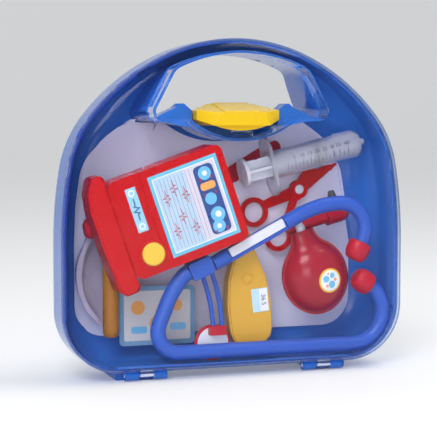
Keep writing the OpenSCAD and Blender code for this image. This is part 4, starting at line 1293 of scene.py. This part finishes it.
@dataclass
class SmallToys:
    """The thermometer, pump, hammer, dish, card, scissors, otoscope and tongue stick."""

    shop: Workshop
    thermometer: tuple[float, float, float, float] = (15.2, 79.6, 5.4, 7.6)
    thermometer_t: float = 14.5
    card: tuple[float, float, float, float] = (-92.0, 24.0, 0.0, 12.0)
    pump: tuple[float, float, float, float] = (76.3, 79.0, 18.5, -8.0)
    bulb_r: float = 28.0
    bulb_flat: float = 0.7
    bulb_stretch: float = 1.1
    bulb_blend: float = 20.0
    neck: Flat = (8.6, 41.0)
    dial_at: Flat = (5.2, -3.5)
    dial_r: float = 10.4
    print_t: float = 0.1

    def flat_print(self, name: str, loops: Sequence[Sequence[Flat]], finish: Finish, at: tuple,
                   base: float) -> None:
        """Lays flat prints in the face frame of a toy."""
        shapes = [Solid.slab(loop, base, base + self.print_t) for loop in loops]
        self.shop.piece(name, merged(shapes).moved(face(*at)), finish, Body.CASE)

    def build_thermometer(self) -> None:
        """Dresses the thermometer and prints plain numbers on its label."""
        self.shop.softened("thermometer_body", THERMO_YELLOW, Body.CASE, 0.9)
        self.shop.softened("thermometer_probe", WHITE, Body.CASE, 0.5)
        self.shop.dressed("thermometer_label", THERMO_LABEL)
        base = self.thermometer_t + 0.3
        self.flat_print("thermometer_field", [rounded_box((9.0, -29.4), (16.0, -10.6), 0.6)], PAPER_WHITE,
                        self.thermometer, base)
        figures = words("36.5", 5.6, self.print_t, (12.2, -20.0), -90)
        figures.moved(Matrix.Translation((0, 0, base + self.print_t)))
        figures.moved(face(*self.thermometer))
        self.shop.piece("thermometer_figures", figures, INK_NAVY_ON_BARREL, Body.CASE)

    def bulb_profile(self, grow: float) -> list[Flat]:
        """Samples the outline of the bulb and its neck as (radius, height), grown by a margin."""
        bulb, blend, stretch = self.bulb_r, self.bulb_blend, self.bulb_stretch
        neck_r, neck_top = self.neck
        turn = math.acos((neck_r + blend) / (bulb + blend))
        points = [(0.0, -stretch * bulb - grow)]
        for i in range(1, 33):
            a = math.radians(-90) + (math.radians(90) + turn) * i / 32
            points.append(((bulb + grow) * math.cos(a), stretch * (bulb + grow) * math.sin(a)))
        for i in range(1, 13):
            a = turn * (1 - i / 12)
            radius = (bulb + blend) * math.cos(turn) - (blend - grow) * math.cos(a)
            height = (bulb + blend) * math.sin(turn) - (blend - grow) * math.sin(a)
            points.append((radius, stretch * height))
        return points + [(neck_r + grow, neck_top), (0.0, neck_top)]

    def on_bulb(self, solid: Solid, base: float) -> Solid:
        """Lays a flat print on the curve of the bulb.

        Args:
            solid: The print in the pump's face frame, with its back at zero.
            base: How far its back lies outside the bulb.

        Returns:
            The same solid, curved.
        """
        for vertex in solid.mesh.vertices:
            around = self.bulb_r + base + vertex.co.z
            deep = 1 - (vertex.co.y / (self.bulb_stretch * around)) ** 2
            vertex.co.z = self.bulb_flat * math.sqrt(around * around * deep - vertex.co.x ** 2)
        return solid

    def dial_print(self, name: str, spots: Sequence[tuple[float, float, float]], depth: Flat, finish: Finish,
                   *nodes: str) -> None:
        """Prints round spots on the bulb.

        Args:
            name: Name of the piece.
            spots: Place to the right and up from the middle of the dial, and radius.
            depth: How far the back and the face lie outside the bulb.
            finish: The ink.
            *nodes: The nodes that it stands for.
        """
        discs = []
        for x, y, radius in spots:
            steps = 6
            back = [(radius * i / steps, 0.0) for i in range(steps + 1)]
            front = [(radius * i / steps, depth[1] - depth[0]) for i in range(steps, -1, -1)]
            disc = Solid.turned(back + front, 48)
            discs.append(disc.moved(Matrix.Translation((self.dial_at[0] + x, self.dial_at[1] + y, 0))))
        made = self.on_bulb(merged(discs), depth[0]).moved(face(*self.pump)).shaded()
        self.shop.piece(name, made, finish, Body.CASE, *nodes)

    def build_pump(self) -> None:
        """Builds the bulb in its two halves, with a rim along the seam, and prints its dial."""
        outer = self.bulb_profile(0)
        rim = self.bulb_profile(2)
        for side, node in ((1, "pump_front_half"), (-1, "pump_back_half")):
            bulb = Solid.turned(outer, 96, self.bulb_flat).moved(Matrix.Rotation(math.radians(-90), 4, "X"))
            flange = Solid.slab(rim + [(-x, y) for x, y in reversed(rim[1:-1])], -1.3, 1.3)
            away = Solid.block((-60, -60, 0.04 - 60), (60, 60, 0.04)) if side > 0 \
                else Solid.block((-60, -60, -0.04), (60, 60, 60))
            bore = Solid.turned([(3.5, self.neck[1] - 6), (3.5, self.neck[1] + 5)], 32)
            bore.moved(Matrix.Rotation(math.radians(-90), 4, "X"))
            half = bulb.join(flange).cut(away, bore).softened(0.35, 2, 40).shaded()
            self.shop.piece(node + "_smooth", half.moved(face(*self.pump)), PUMP_RED, Body.CASE, node)
        self.shop.softened("pump_nozzle", WHITE, Body.CASE, 0.3)
        self.dial_print("pump_dial_rim", [(0, 0, self.dial_r)], (0.02, 0.45), DIAL_YELLOW, "pump_dial_label")
        self.dial_print("pump_dial_field", [(0, 0, self.dial_r - 1.6)], (0.4, 0.55), PAPER_WHITE)
        spots = [(-3.4, 2.6, 2.9), (2.9, 3.8, 2.3), (0.4, -3.6, 3.1)]
        dots = [(-4.2, -3.4, 1.3), (4.7, -0.6, 1.5), (-0.4, 6.2, 1.1)]
        self.dial_print("pump_dial_spots", spots, (0.5, 0.65), INK_SKY)
        self.dial_print("pump_dial_dots", dots, (0.5, 0.65), INK_ORANGE)

    def build_card(self) -> None:
        """Prints the play card with a plain border and simple shapes."""
        self.shop.dressed("play_card", CARD_BLUE)
        base = 0.6
        self.flat_print("play_card_field", [rounded_box((4, 4), (62, 46), 2)], CARD_PALE, self.card, base)
        rounds = [round_loop((16, 32), 6), round_loop((33, 18), 7), round_loop((50, 33), 5)]
        self.flat_print("play_card_rounds", rounds, INK_ORANGE, self.card, base + self.print_t)
        bars = [rounded_box((10, 10), (24, 16), 2), rounded_box((44, 12), (58, 18), 2)]
        self.flat_print("play_card_bars", bars, INK_SKY, self.card, base + self.print_t)

    def build(self) -> None:
        """Builds and dresses the small toys."""
        self.build_thermometer()
        self.build_card()
        self.build_pump()
        # The handle's finish carries painted shade.
        self.shop.softened("hammer_handle", HAMMER_AMBER_IN_PAINTED_SHADE, Body.CASE, 0.5)
        self.shop.softened("hammer_head", TIP_RED, Body.CASE, 0.6)
        # The dish's finish carries painted shade.
        self.shop.softened("kidney_dish", DISH_IN_PAINTED_SHADE, Body.CASE, 0.7)
        self.shop.softened("scissors_fixed_half", TOY_RED, Body.CASE, 0.5)
        self.shop.softened("scissors_moving_half", TOY_RED, Body.BLADE, 0.5)
        self.shop.dressed("scissors_rivet", WHITE)
        self.shop.softened("otoscope_handle", TIP_RED, Body.CASE, 0.5)
        self.shop.softened("otoscope_head", TIP_RED, Body.CASE, 0.6)
        self.shop.softened("otoscope_cone", SEAL, Body.CASE, 0.2)
        self.shop.softened("tongue_stick", TIP_RED, Body.CASE, 0.5)


@dataclass
class Studio:
    """The pale floor and backdrop, the soft lamps and the camera of the photograph."""

    shop: Workshop
    camera_turn: float = 19.0
    camera_distance: float = 1188.0
    camera_height: float = 219.6
    focal_px: float = 1412.0
    axis_px: float = 228.0
    horizon_px: float = 112.0
    image_px: float = 437.0
    sensor_mm: float = 36.0
    paper_lift: float = 0.17

    def build_camera(self) -> None:
        """Sets the camera at the photograph's place, aimed at the middle of its frame."""
        middle = self.image_px / 2
        yaw = math.radians(self.camera_turn) - math.atan((self.axis_px - middle) / self.focal_px)
        drop = (middle - self.horizon_px) / self.focal_px
        turn = math.radians(self.camera_turn)
        reach = self.camera_distance
        place = Vector((-reach * math.sin(turn), -reach * math.cos(turn), self.camera_height))
        aim = place + reach * Vector((math.sin(yaw), math.cos(yaw), -drop))
        data = bpy.data.cameras.new("camera")
        data.sensor_width = self.sensor_mm
        data.lens = self.focal_px * self.sensor_mm / self.image_px
        data.clip_start = 0.05
        data.clip_end = 50.0
        camera = bpy.data.objects.new("camera", data)
        camera.location = place * MM
        camera.rotation_euler = (aim - place).to_track_quat("-Z", "Y").to_euler()
        bpy.context.scene.collection.objects.link(camera)
        bpy.context.scene.camera = camera

    def build_stage(self) -> None:
        """Lays a pale floor that curves up into a backdrop far behind the case."""
        half, behind, bend = 9000.0, 5200.0, 1500.0
        profile = [(-7000.0, 0.0), (behind, 0.0)]
        profile += [(behind + bend * math.sin(a), bend * (1 - math.cos(a)))
                    for a in (math.radians(6 * i) for i in range(1, 16))]
        profile.append((behind + bend, 9000.0))
        bm = bmesh.new()
        rows = [[bm.verts.new((x, y, z)) for x in (-half, half)] for y, z in profile]
        for low, high in zip(rows, rows[1:]):
            bm.faces.new((low[0], low[1], high[1], high[0]))
        stage = Solid.from_bmesh(bm)
        stage.mesh.shade_smooth()
        stage.mesh.transform(Matrix.Scale(MM, 4))
        stage.mesh.materials.append(self.paper())
        floor = bpy.data.objects.new("studio_floor", stage.mesh)
        bpy.context.scene.collection.objects.link(floor)

    def paper(self) -> bpy.types.Material:
        """Makes the pale paper of the stage, a little lighter where it is seen than where it lights."""
        material = bpy.data.materials.new("studio_paper")
        material.use_nodes = True
        nodes, links = material.node_tree.nodes, material.node_tree.links
        shader = nodes["Principled BSDF"]
        shader.inputs["Base Color"].default_value = (0.93, 0.93, 0.93, 1)
        shader.inputs["Roughness"].default_value = 0.8
        shader.inputs["Emission Color"].default_value = (1, 1, 1, 1)
        path = nodes.new("ShaderNodeLightPath")
        seen = path.outputs["Is Camera Ray"]
        for ray in ("Is Glossy Ray", "Is Transmission Ray"):
            either = nodes.new("ShaderNodeMath")
            either.operation = "MAXIMUM"
            links.new(seen, either.inputs[0])
            links.new(path.outputs[ray], either.inputs[1])
            seen = either.outputs[0]
        level = nodes.new("ShaderNodeMath")
        level.operation = "MULTIPLY"
        level.inputs[1].default_value = self.paper_lift
        links.new(seen, level.inputs[0])
        links.new(level.outputs[0], shader.inputs["Emission Strength"])
        return material

    def lamp(self, name: str, place: Spot, aim: Spot, size: float, power: float) -> None:
        """Hangs a soft lamp.

        Args:
            name: Name of the lamp.
            place: Where it hangs, in metres.
            aim: What it points at, in metres.
            size: Side of its square face, in metres.
            power: Its power in watts.
        """
        data = bpy.data.lights.new(name, "AREA")
        data.shape = "SQUARE"
        data.size = size
        data.energy = power
        lamp = bpy.data.objects.new(name, data)
        lamp.location = place
        lamp.rotation_euler = (Vector(aim) - Vector(place)).to_track_quat("-Z", "Y").to_euler()
        bpy.context.scene.collection.objects.link(lamp)

    def build_light(self) -> None:
        """Lights the case with a pale sky and two soft lamps."""
        world = bpy.data.worlds.new("pale_sky")
        world.use_nodes = True
        world.node_tree.nodes["Background"].inputs["Color"].default_value = (0.95, 0.97, 1.0, 1)
        world.node_tree.nodes["Background"].inputs["Strength"].default_value = 0.5
        bpy.context.scene.world = world
        self.lamp("key_lamp", (-0.9, -1.3, 1.5), (0, 0, 0.14), 0.9, 16.0)
        self.lamp("top_lamp", (0.7, -0.2, 1.7), (0, 0, 0.14), 0.8, 8.0)
        self.lamp("front_lamp", (-0.7, -1.7, 0.35), (0, 0, 0.12), 0.7, 4.5)

    def build(self) -> None:
        """Builds the stage, the light and the camera."""
        self.build_camera()
        self.build_stage()
        self.build_light()
        bpy.context.scene.view_settings.view_transform = "Standard"


def main() -> None:
    """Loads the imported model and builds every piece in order."""
    logging.basicConfig(level=logging.INFO, format="%(name)s: %(message)s")
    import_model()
    shop = Workshop()
    Studio(shop).build()
    for assembly in (CaseShells(shop), Monitor(shop), Syringe(shop), Stethoscope(shop), SmallToys(shop)):
        assembly.build()
        LOG.info("%s: done", type(assembly).__name__)


if __name__ == "__main__":
    main()
